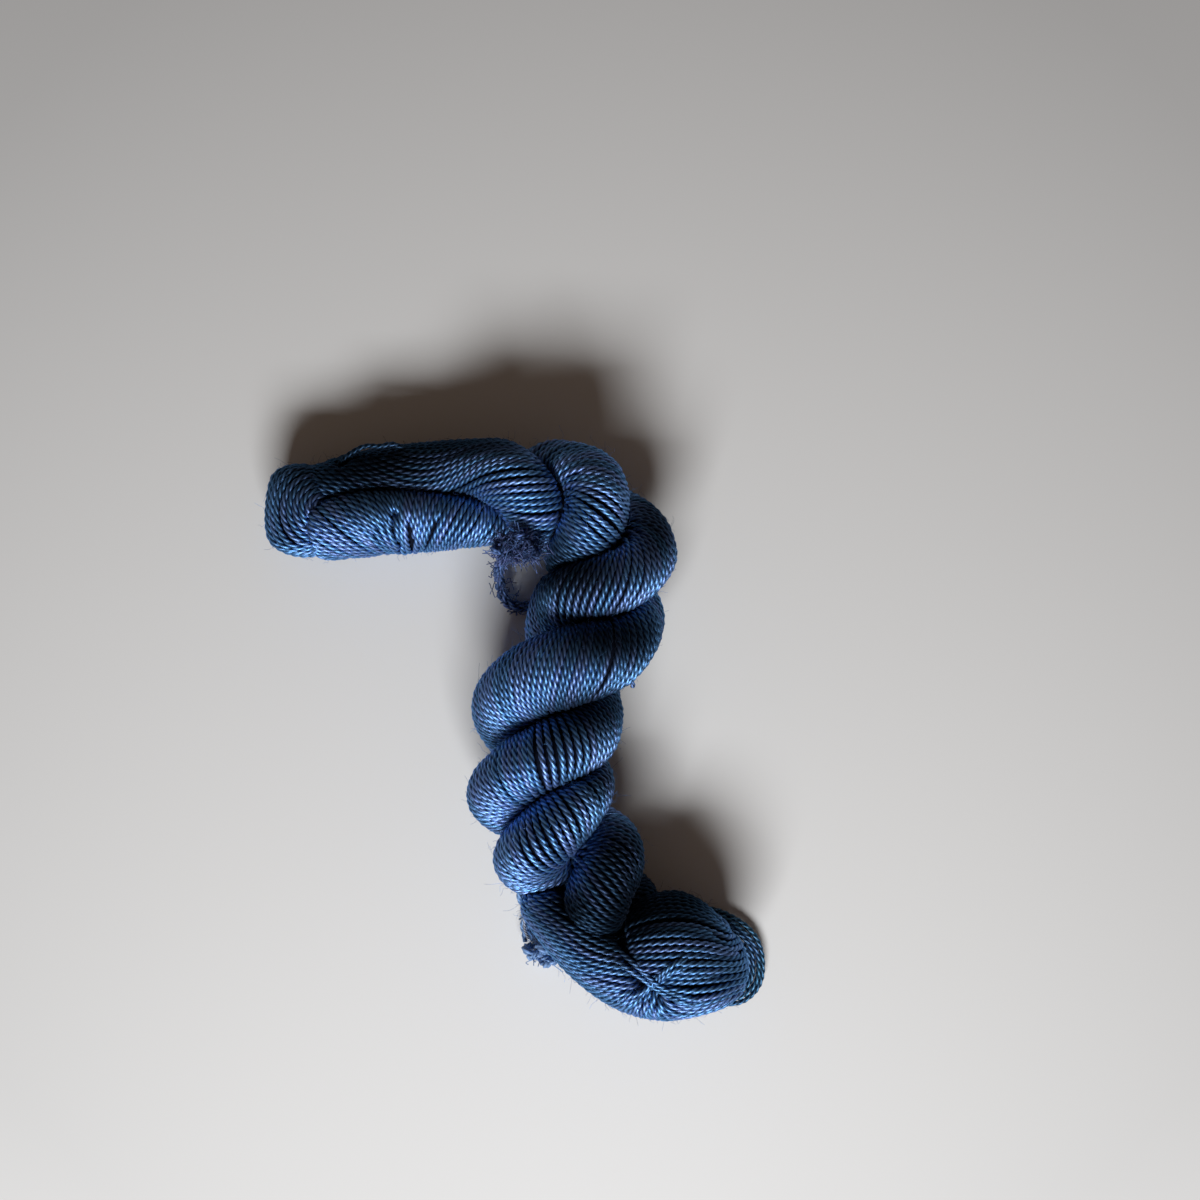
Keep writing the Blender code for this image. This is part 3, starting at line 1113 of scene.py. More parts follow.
@dataclass
class Bundle:
    """A closed tube of wound yarn with oval sections and domed ends.

    Attributes:
        name: Its name.
        line: Its centreline, in millimetres.
        outward: Direction of its sections' first radius, at each point of the line.
        radii: Its sections' two radii at each point.
        lay: Angle of its yarn at each point, in degrees to the left of its run.
        dome: Length of its domed ends.
        ring_step: Spacing of its rings.
        sides: Points a ring.
        dome_from: Angle of a dome's first ring, in degrees.
        dome_rings: Rings of a dome.
        least_radius: Least radius of a ring.
        tree: Search tree of its surface.
        ring_of_face: The ring that each face starts at.
        tangent: Direction of its run at each ring.
        ring_lay: Its lay at each ring.
        ring_run: Distance along it of each ring.
    """

    name: str
    line: np.ndarray
    outward: np.ndarray
    radii: np.ndarray
    lay: np.ndarray
    dome: float
    ring_step: float = 1.2
    sides: int = 56
    dome_from: float = 6.0
    dome_rings: int = 8
    least_radius: float = 0.05
    tree: BVHTree | None = None
    ring_of_face: np.ndarray | None = None
    tangent: np.ndarray | None = None
    ring_lay: np.ndarray | None = None
    ring_run: np.ndarray | None = None

    def rings(self, inset: float, sides: int) -> np.ndarray:
        """Work out the tube's rings.

        Args:
            inset: How far under the full surface they lie, in millimetres.
            sides: Points a ring.

        Returns:
            The points, ring by ring.
        """
        total = run_along(self.line)[-1]
        bend = np.radians(np.linspace(self.dome_from, 90.0, self.dome_rings))
        start = self.dome * (1.0 - np.cos(bend))
        count = max(2, int(round((total - 2.0 * self.dome) / self.ring_step)))
        middle = np.linspace(self.dome, total - self.dome, count + 1)[1:-1]
        places = np.concatenate([start, middle, (total - start)[::-1]])
        depth = 1.0 - np.clip(np.minimum(places, total - places) / self.dome, 0.0, 1.0)
        share = np.sqrt(1.0 - depth ** 2)
        outward = read_at(places, self.line, self.outward)
        radii = read_at(places, self.line, self.radii) * share[:, None] - inset
        radii = np.maximum(radii, self.least_radius)
        path = read_at(places, self.line, self.line)
        self.tangent = unit(np.gradient(path, axis=0))
        self.ring_lay = np.interp(places, run_along(self.line), self.lay)
        self.ring_run = places
        lean = np.sum(outward * self.tangent, axis=1, keepdims=True)
        outward = unit(outward - lean * self.tangent)
        sideways = np.cross(self.tangent, outward)
        angle = 2.0 * math.pi * np.arange(sides) / sides
        points = (
            path[:, None, :]
            + (radii[:, :1] * np.cos(angle))[:, :, None] * outward[:, None, :]
            + (radii[:, 1:] * np.sin(angle))[:, :, None] * sideways[:, None, :]
        )
        away = np.linalg.norm(points - np.array(PINCH), axis=2)
        points[:, :, 2] -= PINCH_DEPTH * np.exp(-0.5 * (away / PINCH_WIDTH) ** 2)
        return points

    def prepare(self) -> None:
        """Set up the search tree of the tube's surface."""
        points = self.rings(0.0, self.sides)
        count, sides = points.shape[:2]
        faces = tube_faces(count, sides)
        self.tree = BVHTree.FromPolygons(points.reshape(-1, 3).tolist(), faces)
        side_rings = np.repeat(np.arange(count - 1), sides)
        self.ring_of_face = np.append(side_rings, [0, count - 1])

    def depth_at(self, point: Vector) -> float:
        """Measure how far inside the tube a point lies.

        Args:
            point: The point, in millimetres.

        Returns:
            The depth, below zero outside.
        """
        near, normal, _, away = self.tree.find_nearest(point)
        inside = (point - near).dot(normal) < 0.0
        return away if inside else -away


def ply(name: str, lead: float, dome: float) -> Bundle:
    """Give the shape of one of the hank's two plies.

    Args:
        name: Its name, "first" or "second" as in the table's columns.
        lead: Half turns that it is ahead by.
        dome: Length of its domed ends, in millimetres.

    Returns:
        The bundle.
    """
    rope = dict(zip(ROPE_COLUMNS, through(ROPE).T))
    centre = np.column_stack([rope["x"], rope["y"], rope["z"]])
    phase = math.pi * (rope["half_turns"] - 0.5 + lead)
    wide = (np.cos(phase) * rope["half_width"])[:, None] * left_of(rope["bearing"])
    tall = (np.sin(phase) * rope["half_height"])[:, None] * UP
    arm = wide + tall
    reach = np.linalg.norm(arm, axis=1)
    path = centre + arm * (1.0 - rope["share"])[:, None]
    radii = np.column_stack([reach * rope["share"], rope["lobe"]])
    return Bundle(f"{name}_ply", path, unit(arm), radii, rope[f"{name}_lay"], dome)


def end_bundle(name: str, rows: Rows, dome: float) -> Bundle:
    """Give the shape of a bundle that has its own table.

    Args:
        name: Its name.
        rows: Its table.
        dome: Length of its domed ends, in millimetres.

    Returns:
        The bundle.
    """
    table = dict(zip(BUNDLE_COLUMNS, through(rows).T))
    path = np.column_stack([table["x"], table["y"], table["z"]])
    heading = np.gradient(path[:, :2], axis=0)
    bearing = np.degrees(np.arctan2(heading[:, 1], heading[:, 0]))
    radii = np.column_stack([table["half_side"], table["half_up"]])
    return Bundle(name, path, left_of(bearing), radii, table["lay"], dome)


# ---------------------------------------------------------------- laid yarn


@dataclass
class Coat:
    """Lengths of yarn laid side by side over a bundle.

    Attributes:
        name: Name of its pieces.
        bundle: The bundle that it covers.
        rule: How its yarn runs.
        parts: How many pieces it is built as.
        seed: Seed of its draws.
        spacing: Distance between lengths, in millimetres.
        start_share: Share of the spacing that is free round the start of a length.
        crowding: Share of the spacing that a length keeps to the others as it runs.
        cell_share: Size of a search cell, as a share of the spacing.
        step: Distance between the points of a length.
        most_steps: Most points each way from a length's start.
        own_steps: Points of its own that a length may be close to.
        shortest: Shortest length that is kept.
        tuck: How deep a length may run into another bundle.
        pinched: Radius round the pinch that is left free.
        under_floor: How far below the floor a length may run before it is cut.
        sink: Depth of the centrelines under the bundle's surface.
        dive: How much deeper a length's ends lie.
        dive_over: Distance from its ends that this takes.
        wander: How much the depth wanders along a length.
        uneven: How much it differs from length to length.
        others: The hank's other bundles.
        lines: Places and normals of the lengths laid.
        cells: Their places by search cell.
    """

    name: str
    bundle: Bundle
    rule: LayRule = LayRule.ALONG
    parts: int = 1
    seed: int = 1
    spacing: float = 1.66
    start_share: float = 0.86
    crowding: float = 0.62
    cell_share: float = 1.2
    step: float = 0.80
    most_steps: int = 400
    own_steps: int = 6
    shortest: float = 5.0
    tuck: float = 1.5
    pinched: float = 0.9
    under_floor: float = 1.2
    sink: float = 0.9
    dive: float = 1.3
    dive_over: float = 3.0
    wander: float = 0.30
    uneven: float = 0.12
    others: list[Bundle] = field(default_factory=list)
    lines: list[tuple[np.ndarray, np.ndarray]] = field(default_factory=list)
    cells: dict[Cell, list[Vector]] = field(default_factory=dict)

    def direction(self, place: Vector, normal: Vector, ring: int) -> Vector:
        """Give the way that the yarn runs at a place on the bundle.

        Args:
            place: The place, in millimetres.
            normal: The surface's normal there.
            ring: The bundle's ring there.

        Returns:
            The direction, level with the surface.
        """
        tangent = Vector(self.bundle.tangent[ring])
        turn = math.radians(self.bundle.ring_lay[ring])
        along = (tangent - normal * tangent.dot(normal)).normalized()
        run = along * math.cos(turn) + normal.cross(along) * math.sin(turn)
        if self.rule is LayRule.TURNING:
            arm = place - TURN_MIDDLE
            run = Vector((-arm.y, arm.x, 0.0))
        elif self.rule is LayRule.FANNED:
            run = fanned(place)
            run = run - normal * run.dot(normal)
            over = clamped((normal.x - FAN_SIDE) / FAN_SIDE_OVER)
            down = Vector((0.0, 0.0, -1.0 if run.z <= 0.0 else 1.0))
            run = run * (1.0 - over) + down * over
        elif self.rule is LayRule.DRAWN:
            near = clamped((DRAWN_FROM - (place - PINCH).length) / DRAWN_OVER)
            away = fanned(place)
            away = away if away.dot(run) > 0.0 else -away
            run = run * (1.0 - near) + away * near
        run = run - normal * run.dot(normal)
        return run.normalized() if run.length > 1e-6 else along

    def hidden(self, place: Vector) -> bool:
        """Tell whether a place lies well inside another bundle.

        Args:
            place: The place, in millimetres.

        Returns:
            Whether it does, or is under the floor or in the pinch.
        """
        if place.z < -self.under_floor or (place - PINCH).xy.length < self.pinched:
            return True
        return any(other.depth_at(place) > self.tuck for other in self.others)

    def _cell(self, place: Vector) -> Cell:
        """Name the search cell of a place."""
        size = self.spacing * self.cell_share
        return (int(place.x // size), int(place.y // size), int(place.z // size))

    def _around(self, cells: dict[Cell, list], place: Vector) -> Iterator:
        """Give what lies in the cell of a place and in the cells next to it.

        Args:
            cells: The cells with what lies in them.
            place: The place.

        Yields:
            Each thing.
        """
        for cell in product(*((index - 1, index, index + 1) for index in self._cell(place))):
            yield from cells.get(cell, ())

    def _near(self, place: Vector, limit: float) -> bool:
        """Tell whether laid yarn is closer to a place than a limit."""
        return any((point - place).length < limit for point in self._around(self.cells, place))

    def _trace(self, seed: Vector, limit: float) -> list[tuple[Vector, Vector]]:
        """Lay one length through a seed, both ways, until something stops it.

        Args:
            seed: A place on the bundle.
            limit: How close it may come to others.

        Returns:
            Places and normals in order.
        """
        halves = []
        own = {}
        for sense in (1.0, -1.0):
            near, normal, face, _ = self.bundle.tree.find_nearest(seed)
            ring = self.bundle.ring_of_face[face]
            run = self.direction(near, normal, ring) * sense
            half = []
            for index in range(self.most_steps):
                half.append((near.copy(), normal.copy()))
                order = index if sense > 0 else -index
                own.setdefault(self._cell(near), []).append((near.copy(), order))
                middle = near + run * (0.5 * self.step)
                _, tilt, face, _ = self.bundle.tree.find_nearest(middle)
                bend = self.direction(middle, tilt, self.bundle.ring_of_face[face])
                bend = bend if bend.dot(run) > 0.0 else -bend
                target = near + bend * self.step
                near, normal, face, _ = self.bundle.tree.find_nearest(target)
                ring = self.bundle.ring_of_face[face]
                ahead = self.direction(near, normal, ring)
                run = ahead if ahead.dot(bend) > 0.0 else -ahead
                if self._near(near, limit) or self.hidden(near):
                    break
                if self._meets_itself(own, near, order, limit):
                    break
            halves.append(half)
        return halves[1][:0:-1] + halves[0]

    def _meets_itself(
        self, own: dict[Cell, list], place: Vector, order: int, limit: float
    ) -> bool:
        """Tell whether a length comes back to where it already lies.

        Args:
            own: Its points with their numbers, by cell.
            place: Its newest place.
            order: The newest place's number.
            limit: The distance that counts.

        Returns:
            Whether it does.
        """
        return any(
            abs(index - order) > self.own_steps and (point - place).length < limit
            for point, index in self._around(own, place)
        )

    def _open(self, place: Vector) -> bool:
        """Tell whether a new length may start at a place."""
        return not self._near(place, self.spacing * self.start_share) and not self.hidden(place)

    def _keep(self, length: list[tuple[Vector, Vector]]) -> None:
        """Add a length to the coat and to its search cells.

        Args:
            length: Its places and normals in order.
        """
        for place, _ in length:
            self.cells.setdefault(self._cell(place), []).append(place)
        places = np.array([place for place, _ in length])
        normals = np.array([normal for _, normal in length])
        self.lines.append((places, normals))

    def lay_yarn(self) -> None:
        """Cover the bundle with lengths, each one beside those laid before."""
        random = np.random.default_rng(self.seed)
        rings = self.bundle.rings(0.0, 24)
        places = rings.reshape(-1, 3)
        starts = places[random.permutation(len(places))]
        queue = deque()
        for start in starts:
            queue.append(Vector(start))
            while queue:
                wish = queue.popleft()
                seed, _, _, _ = self.bundle.tree.find_nearest(wish)
                if not self._open(seed):
                    continue
                length = self._trace(seed, self.spacing * self.crowding)
                if len(length) * self.step < self.shortest:
                    continue
                self._keep(length)
                for index in range(0, len(length), 3):
                    place, normal = length[index]
                    after = length[min(index + 1, len(length) - 1)][0]
                    before = length[max(index - 1, 0)][0]
                    aside = normal.cross((after - before).normalized())
                    queue.append(place + aside * self.spacing)
                    queue.append(place - aside * self.spacing)

    def pour(self, gauge: Gauge) -> list[YarnMesh]:
        """Give the lengths their depth and share them out among the coat's pieces.

        Args:
            gauge: Build of the yarn.

        Returns:
            One mesh for each piece.
        """
        random = np.random.default_rng(self.seed + 50)
        middles = []
        for places, _ in self.lines:
            _, _, face, _ = self.bundle.tree.find_nearest(Vector(places[len(places) // 2]))
            middles.append(self.bundle.ring_run[self.bundle.ring_of_face[face]])
        sizes = np.array([len(places) for places, _ in self.lines], dtype=float)
        order = np.argsort(middles)
        share = np.cumsum(sizes[order]) / np.sum(sizes)
        part_of = np.zeros(len(order), dtype=int)
        part_of[order] = np.minimum((share * self.parts).astype(int), self.parts - 1)
        names = [self.name] if self.parts == 1 else [
            f"{self.name}_{part + 1}" for part in range(self.parts)
        ]
        meshes = [YarnMesh(name, gauge) for name in names]
        for number, (places, normals) in enumerate(self.lines):
            places = smoothed(places, 2)
            normals = unit(smoothed(normals, 3))
            run = run_along(places)
            edge = np.minimum(run, run[-1] - run)
            dive = self.dive * np.clip(1.0 - edge / self.dive_over, 0.0, 1.0) ** 1.5
            wander = np.array([
                noise.noise(Vector((value * 0.05, number * 3.7, self.seed * 5.0)))
                for value in run
            ])
            uneven = random.uniform(-self.uneven, self.uneven)
            depth = self.sink + dive - self.wander * wander + uneven
            centre = smoothed(places - normals * depth[:, None], 1)
            keep_above(centre, gauge.radius + LAID_GAP)
            meshes[part_of[number]].add(centre, normals, float(random.uniform(0.0, 1.0)))
        return meshes


def fanned(place: Vector) -> Vector:
    """Give the way that the yarn fans out from the pinch.

    Args:
        place: A place, in millimetres.

    Returns:
        The direction, not yet at length one.
    """
    below = clamped((PINCH_BELOW - place.y) / PINCH_BELOW_OVER)
    left = clamped((PINCH_LEFT - place.x) / PINCH_LEFT_OVER)
    share = below * left
    near = (place - PINCH).normalized()
    far = (place - FAN_SOURCE).normalized()
    near = near if near.dot(far) > 0.0 else -near
    return near * share + far * (1.0 - share)


# ---------------------------------------------------------------- the hank


@dataclass
class Hank:
    """The wound body: its inside, painted dark as the shade between the strands, and the yarn laid
    over it.

    Attributes:
        core_inset: Depth of the inside under the bundles' surface, in millimetres.
        core_sides: Points a ring of the inside.
        core_grain: Size of the cells that join it into one skin.
        core_lowest: Least height of its points.
        core_easing: Rounds of smoothing.
        fibres_a_mm: Fibres that stand out of a millimetre of laid yarn.
        fibre_root: Height of a fibre's root, as a share of the yarn's radius.
        fibre_lift: Least and most that a fibre sets off outward.
        fibre_scatter: How much its way is scattered.
        gauge: Build of the laid yarn.
        fuzz: The fibres.
        bundles: The bundles by name.
        pieces: The objects built.
    """

    core_inset: float = 1.75
    core_sides: int = 40
    core_grain: float = 1.1
    core_lowest: float = 1.1
    core_easing: int = 3
    fibres_a_mm: float = 0.11
    fibre_root: float = 0.8
    fibre_lift: tuple[float, float] = (0.1, 0.8)
    fibre_scatter: float = 0.3
    gauge: Gauge = field(default_factory=Gauge)
    fuzz: Fibres = field(default_factory=lambda: Fibres("hank_fuzz", radius=0.035))
    bundles: dict[str, Bundle] = field(default_factory=dict)
    pieces: list[bpy.types.Object] = field(default_factory=list)

    def shape(self) -> None:
        """Work out the five bundles that the hank is made of."""
        made = (
            ply("first", 0.0, 6.0),
            ply("second", 1.0, 6.0),
            end_bundle("left_turn", LEFT_TURN, 5.0),
            end_bundle("left_arm", LEFT_ARM, 7.0),
            end_bundle("right_fan", RIGHT_FAN, 3.0),
        )
        for bundle in made:
            bundle.prepare()
            self.bundles[bundle.name] = bundle

    def coats(self) -> list[Coat]:
        """Give the coats of yarn, each with the bundle that it covers.

        Returns:
            The coats, not yet laid.
        """
        every = list(self.bundles.values())
        first, second, turn, arm, fan = every
        coats = [
            Coat("first_ply_yarn", first, parts=3, seed=3),
            Coat("second_ply_yarn", second, parts=3, seed=5, crowding=0.56, shortest=3.6),
            Coat("left_turn_yarn", turn, LayRule.TURNING, seed=8, spacing=1.52),
            Coat("left_arm_yarn", arm, LayRule.DRAWN, seed=9, tuck=0.8),
            Coat("right_fan_yarn", fan, LayRule.FANNED, seed=10, tuck=0.9),
        ]
        for coat in coats:
            coat.others = [bundle for bundle in every if bundle is not coat.bundle]
        return coats

    def build_core(self, material: bpy.types.Material) -> bpy.types.Object:
        """Build the inside, painted dark as the shade between the strands, as one skin.

        Args:
            material: Its finish.

        Returns:
            The object.
        """
        points, faces, first = [], [], 0
        for bundle in self.bundles.values():
            rings = bundle.rings(self.core_inset, self.core_sides)
            count, sides = rings.shape[:2]
            points.append(rings.reshape(-1, 3))
            faces.extend(tube_faces(count, sides, first))
            first += count * sides
        place = np.vstack(points)
        keep_above(place, self.core_lowest)
        mesh = bpy.data.meshes.new("inner_yarn")
        mesh.from_pydata((place * MM).tolist(), [], faces)
        item = bpy.data.objects.new("inner_yarn", mesh)
        bpy.context.collection.objects.link(item)
        skin = item.modifiers.new("skin", "REMESH")
        skin.mode = "VOXEL"
        skin.voxel_size = self.core_grain * MM
        ease = item.modifiers.new("ease", "SMOOTH")
        ease.iterations = self.core_easing
        bpy.context.view_layer.update()
        final = bpy.data.meshes.new_from_object(
            item.evaluated_get(bpy.context.evaluated_depsgraph_get())
        )
        item.modifiers.clear()
        item.data = final
        final.shade_smooth()
        final.materials.clear()
        final.materials.append(material)
        return item

    def build(self, yarn: bpy.types.Material, inside: bpy.types.Material) -> None:
        """Build the inside and every coat.

        Args:
            yarn: Finish of the laid yarn.
            inside: Finish of the inside.
        """
        self.shape()
        self.pieces.append(self.build_core(inside))
        LOG.info("inner_yarn: %d faces", len(self.pieces[-1].data.polygons))
        for coat in self.coats():
            coat.lay_yarn()
            for mesh in coat.pour(self.gauge):
                self.pieces.append(mesh.build(yarn))
                self.raise_fibres(mesh)
                LOG.info("%s: %s", mesh.name, mesh.summary())
        self.pieces.append(self.fuzz.build(yarn))
        LOG.info("%s: %d fibres", self.fuzz.name, len(self.fuzz.roots))

    def raise_fibres(self, mesh: YarnMesh) -> None:
        """Let fibres stand out of laid yarn.

        Args:
            mesh: The yarn.
        """
        random = np.random.default_rng(len(mesh.lengths))
        for centre, outward, _ in mesh.lengths:
            heading = unit(np.gradient(centre, axis=0))
            count = random.poisson(run_along(centre)[-1] * self.fibres_a_mm)
            for index in random.integers(0, len(centre), count):
                way = outward[index] * random.uniform(*self.fibre_lift) + heading[index]
                way = way + random.normal(size=3) * self.fibre_scatter
                root = centre[index] + outward[index] * self.fibre_root * mesh.gauge.radius
                self.fuzz.stand_at(root, way)

    def place(self) -> None:
        """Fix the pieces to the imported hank."""
        for piece in self.pieces:
            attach(piece, "root")
            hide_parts("hank")


# ---------------------------------------------------------------- loose yarn


@dataclass
class LooseYarn:
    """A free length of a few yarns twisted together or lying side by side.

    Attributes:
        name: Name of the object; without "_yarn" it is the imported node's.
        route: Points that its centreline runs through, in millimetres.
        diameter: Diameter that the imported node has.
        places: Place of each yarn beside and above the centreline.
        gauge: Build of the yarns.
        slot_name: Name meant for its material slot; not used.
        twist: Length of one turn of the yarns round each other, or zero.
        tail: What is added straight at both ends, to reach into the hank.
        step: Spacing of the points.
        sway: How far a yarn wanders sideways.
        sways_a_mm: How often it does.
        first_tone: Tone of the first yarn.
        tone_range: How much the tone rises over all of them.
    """

    name: str
    route: Rows
    diameter: float
    places: Sequence[tuple[float, float]]
    gauge: Gauge
    slot_name: str
    twist: float = 0.0
    tail: float = 0.0
    step: float = 0.6
    sway: float = 0.35
    sways_a_mm: float = 0.12
    first_tone: float = 0.30
    tone_range: float = 0.5

    def path(self) -> np.ndarray:
        """Give its centreline in millimetres, at an even spacing."""
        return spaced(through(self.route), self.step)

    def frames(self) -> tuple[np.ndarray, np.ndarray, np.ndarray]:
        """Give the path with a direction beside and one above it at each point.

        Returns:
            The path, the directions beside it and the directions above it.
        """
        path = self.path()
        tangent = unit(np.gradient(path, axis=0))
        beside = [np.cross(tangent[0], UP)]
        for heading in tangent[1:]:
            last = beside[-1]
            beside.append(last - heading * float(np.dot(last, heading)))
        beside = unit(np.array(beside))
        return path, beside, np.cross(beside, tangent)

    def build(self, material: bpy.types.Material) -> bpy.types.Object:
        """Build the yarns.

        Args:
            material: The finish.

        Returns:
            The object.
        """
        path, beside, above = self.frames()
        if self.tail:
            out = unit(path[:1] - path[1:2]) * self.tail, unit(path[-1:] - path[-2:-1]) * self.tail
            path = np.vstack([path[:1] + out[0], path, path[-1:] + out[1]])
            beside, above = (
                np.vstack([rows[:1], rows, rows[-1:]]) for rows in (beside, above)
            )
        run = run_along(path)
        turn = -2.0 * math.pi * run / self.twist if self.twist else np.zeros(len(run))
        mesh = YarnMesh(self.name, self.gauge)
        for number, (aside, up) in enumerate(self.places):
            side = aside * np.cos(turn) - up * np.sin(turn)
            rise = aside * np.sin(turn) + up * np.cos(turn)
            sway = np.array([
                noise.noise(Vector((value * self.sways_a_mm, number * 2.3, 7.7))) for value in run
            ])
            side = side + self.sway * sway
            centre = path + side[:, None] * beside + rise[:, None] * above
            keep_above(centre, self.gauge.radius + LOOSE_GAP)
            tone = self.first_tone + self.tone_range * number / len(self.places)
            mesh.add(centre, above, tone)
        return mesh.build(material)

    def declare(self, item: bpy.types.Object, far_end: str, others: Sequence) -> None:
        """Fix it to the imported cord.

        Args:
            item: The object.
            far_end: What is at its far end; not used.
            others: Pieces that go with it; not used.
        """
        path = self.path() * MM
        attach(item, "root")
        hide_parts(self.name.removesuffix("_yarn"))
        float(run_along(path)[-1])
        self.diameter * MM


@dataclass
class TieKnot:
    """A tie's knot: yarn wound through itself, with short frayed fibres.

    Attributes:
        name: Name of the object.
        middle: Its middle, in millimetres.
        half: Half of its size along its own axes.
        turn: Angle of its first axis, in degrees from +X.
        seed: Seed of the draws.
        rounds: How many closed rounds of yarn it has.
        round_points: Points worked out for a round.
        shrink: How much smaller each further round is.
        step: Spacing of a round's points.
        fray_root: Distance of the fibres' roots from its middle, as a share of half.
        fray_lift: How much the fibres set off outward.
        fray_scatter: How much their way is scattered.
        gauge: Build of the yarn.
    """

    name: str
    middle: Triple
    half: Triple
    turn: float
    seed: int
    rounds: int = 3
    round_points: int = 90
    shrink: float = 0.15
    step: float = 0.6
    fray_root: float = 0.82
    fray_lift: float = 0.45
    fray_scatter: float = 0.5
    gauge: Gauge = field(default_factory=lambda: Gauge(radius=0.86, pitch=5.6))

    def _turned(self, points: np.ndarray) -> np.ndarray:
        """Turn points about the upright and move them to the knot's middle.

        Args:
            points: The points, one a row.

        Returns:
            The moved points.
        """
        angle = math.radians(self.turn)
        swing = np.array([
            [math.cos(angle), -math.sin(angle), 0.0],
            [math.sin(angle), math.cos(angle), 0.0],
            [0.0, 0.0, 1.0],
        ])
        return points @ swing.T + np.array(self.middle)

    def build(self, material: bpy.types.Material) -> bpy.types.Object:
        """Build the knotted yarn.

        Args:
            material: The finish.

        Returns:
            The object.
        """
        random = np.random.default_rng(self.seed)
        reach = np.array(self.half) - self.gauge.radius
        mesh = YarnMesh(self.name, self.gauge)
        for number in range(self.rounds):
            along = np.linspace(0.0, 2.0 * math.pi, self.round_points)
            shift = random.uniform(0.0, 2.0 * math.pi)
            size = 1.0 - self.shrink * number
            loop = np.column_stack([
                (np.sin(along + shift) + 1.2 * np.sin(2.0 * along)) / 2.0,
                (np.cos(along + shift) - 1.2 * np.cos(2.0 * along)) / 2.1,
                -np.sin(3.0 * along + 0.4 * number),
            ])
            centre = spaced(self._turned(loop * reach * size), self.step)
            keep_above(centre, self.gauge.radius + LOOSE_GAP)
            outward = centre - np.array(self.middle)
            mesh.add(centre, outward, float(random.uniform(0.3, 0.8)))
        return mesh.build(material)

    def fray(self, fibres: Fibres, count: int) -> None:
        """Let fibres stand out of the knot.

        Args:
            fibres: The fibres that they are added to.
            count: How many.
        """
        random = np.random.default_rng(self.seed + 1)
        for _ in range(count):
            way = random.normal(size=3)
            way /= np.linalg.norm(way)
            root = self._turned((way * np.array(self.half) * self.fray_root)[None, :])[0]
            lean = way * self.fray_lift + random.normal(size=3) * self.fray_scatter
            fibres.stand_at(root, self._turned(lean[None, :])[0] - np.array(self.middle))


@dataclass
class ShortYarn:
    """A yarn that shows for a short way at the hank's surface, too short to hang.

    Attributes:
        name: Name of the object.
        route: Points that its centreline runs through, in millimetres.
        gauge: Build of the yarn.
        step: Spacing of the points.
        tone: Its tone.
        facing: Direction that its rings' first points are turned to.
    """

    name: str
    route: Rows
    gauge: Gauge = field(default_factory=lambda: Gauge(radius=0.80, pitch=5.6))
    step: float = 0.6
    tone: float = 0.5
    facing: Triple = (0.2, 0.3, 0.9)

    def build(self, material: bpy.types.Material) -> bpy.types.Object:
        """Build the yarn.

        Args:
            material: The finish.

        Returns:
            The object.
        """
        centre = spaced(through(self.route), self.step)
        keep_above(centre, self.gauge.radius + LOOSE_GAP)
        mesh = YarnMesh(self.name, self.gauge)
        mesh.add(centre, np.tile(np.array(self.facing), (len(centre), 1)), self.tone)
        return mesh.build(material)


# ---------------------------------------------------------------- studio


@dataclass
class Studio:
    """The floor, the lights and the camera of the picture, in metres.

    Attributes:
        eye: Place of the camera.
        half_view: Half of the width that it sees on the floor.
        sensor: Width of its sensor, in millimetres.
        floor_reach: Half of the floor's width.
        key_place: Place of the key lamp.
        key_aim: Where it is turned to.
        key_size: Its width and height.
        key_watts: Its power.
        key_colour: Its colour.
        sky_colour: Colour of the light from all round.
        sky_strength: Strength of that light.
    """

    eye: Triple = (0.0268, 0.03614, 0.480)
    half_view: float = 0.1753
    sensor: float = 36.0
    floor_reach: float = 9.0
    key_place: Triple = (-0.05, -0.93, 0.81)
    key_aim: Triple = (0.0, 0.02, 0.0)
    key_size: tuple[float, float] = (0.75, 0.39)
    key_watts: float = 20.5
    key_colour: Triple = (0.965, 0.985, 1.0)
    sky_colour: Colour = (1.0, 0.74, 0.58, 1.0)
    sky_strength: float = 0.09

    def build_floor(self, material: bpy.types.Material) -> None:
        """Lay the floor.

        Args:
            material: Its finish.
        """
        reach = self.floor_reach
        corners = [(-reach, -reach, 0), (reach, -reach, 0), (reach, reach, 0), (-reach, reach, 0)]
        mesh = bpy.data.meshes.new("floor")
        mesh.from_pydata(corners, [], [(0, 1, 2, 3)])
        mesh.materials.append(material)
        floor = bpy.data.objects.new("floor", mesh)
        bpy.context.collection.objects.link(floor)

    def build_camera(self) -> None:
        """Set the camera straight above, as high as the picture's was."""
        data = bpy.data.cameras.new("camera")
        data.sensor_width = self.sensor
        data.sensor_fit = "HORIZONTAL"
        data.lens = 0.5 * self.sensor * self.eye[2] / self.half_view
        camera = bpy.data.objects.new("camera", data)
        camera.location = self.eye
        bpy.context.collection.objects.link(camera)
        bpy.context.scene.camera = camera

    def build_key(self) -> None:
        """Set a large soft lamp low on one side, turned to the hank."""
        data = bpy.data.lights.new("key", "AREA")
        data.shape = "RECTANGLE"
        data.size, data.size_y = self.key_size
        data.energy = self.key_watts
        data.color = self.key_colour
        lamp = bpy.data.objects.new("key", data)
        lamp.location = self.key_place
        aim = Vector(self.key_aim) - Vector(self.key_place)
        lamp.rotation_euler = aim.to_track_quat("-Z", "Y").to_euler()
        bpy.context.collection.objects.link(lamp)

    def build_sky(self) -> None:
        """Set a weak warm sky, and colours that come out as they are."""
        world = bpy.data.worlds.new("sky")
        world.use_nodes = True
        backdrop = world.node_tree.nodes["Background"]
        backdrop.inputs["Color"].default_value = self.sky_colour
        backdrop.inputs["Strength"].default_value = self.sky_strength
        bpy.context.scene.world = world
        bpy.context.scene.view_settings.view_transform = "Standard"


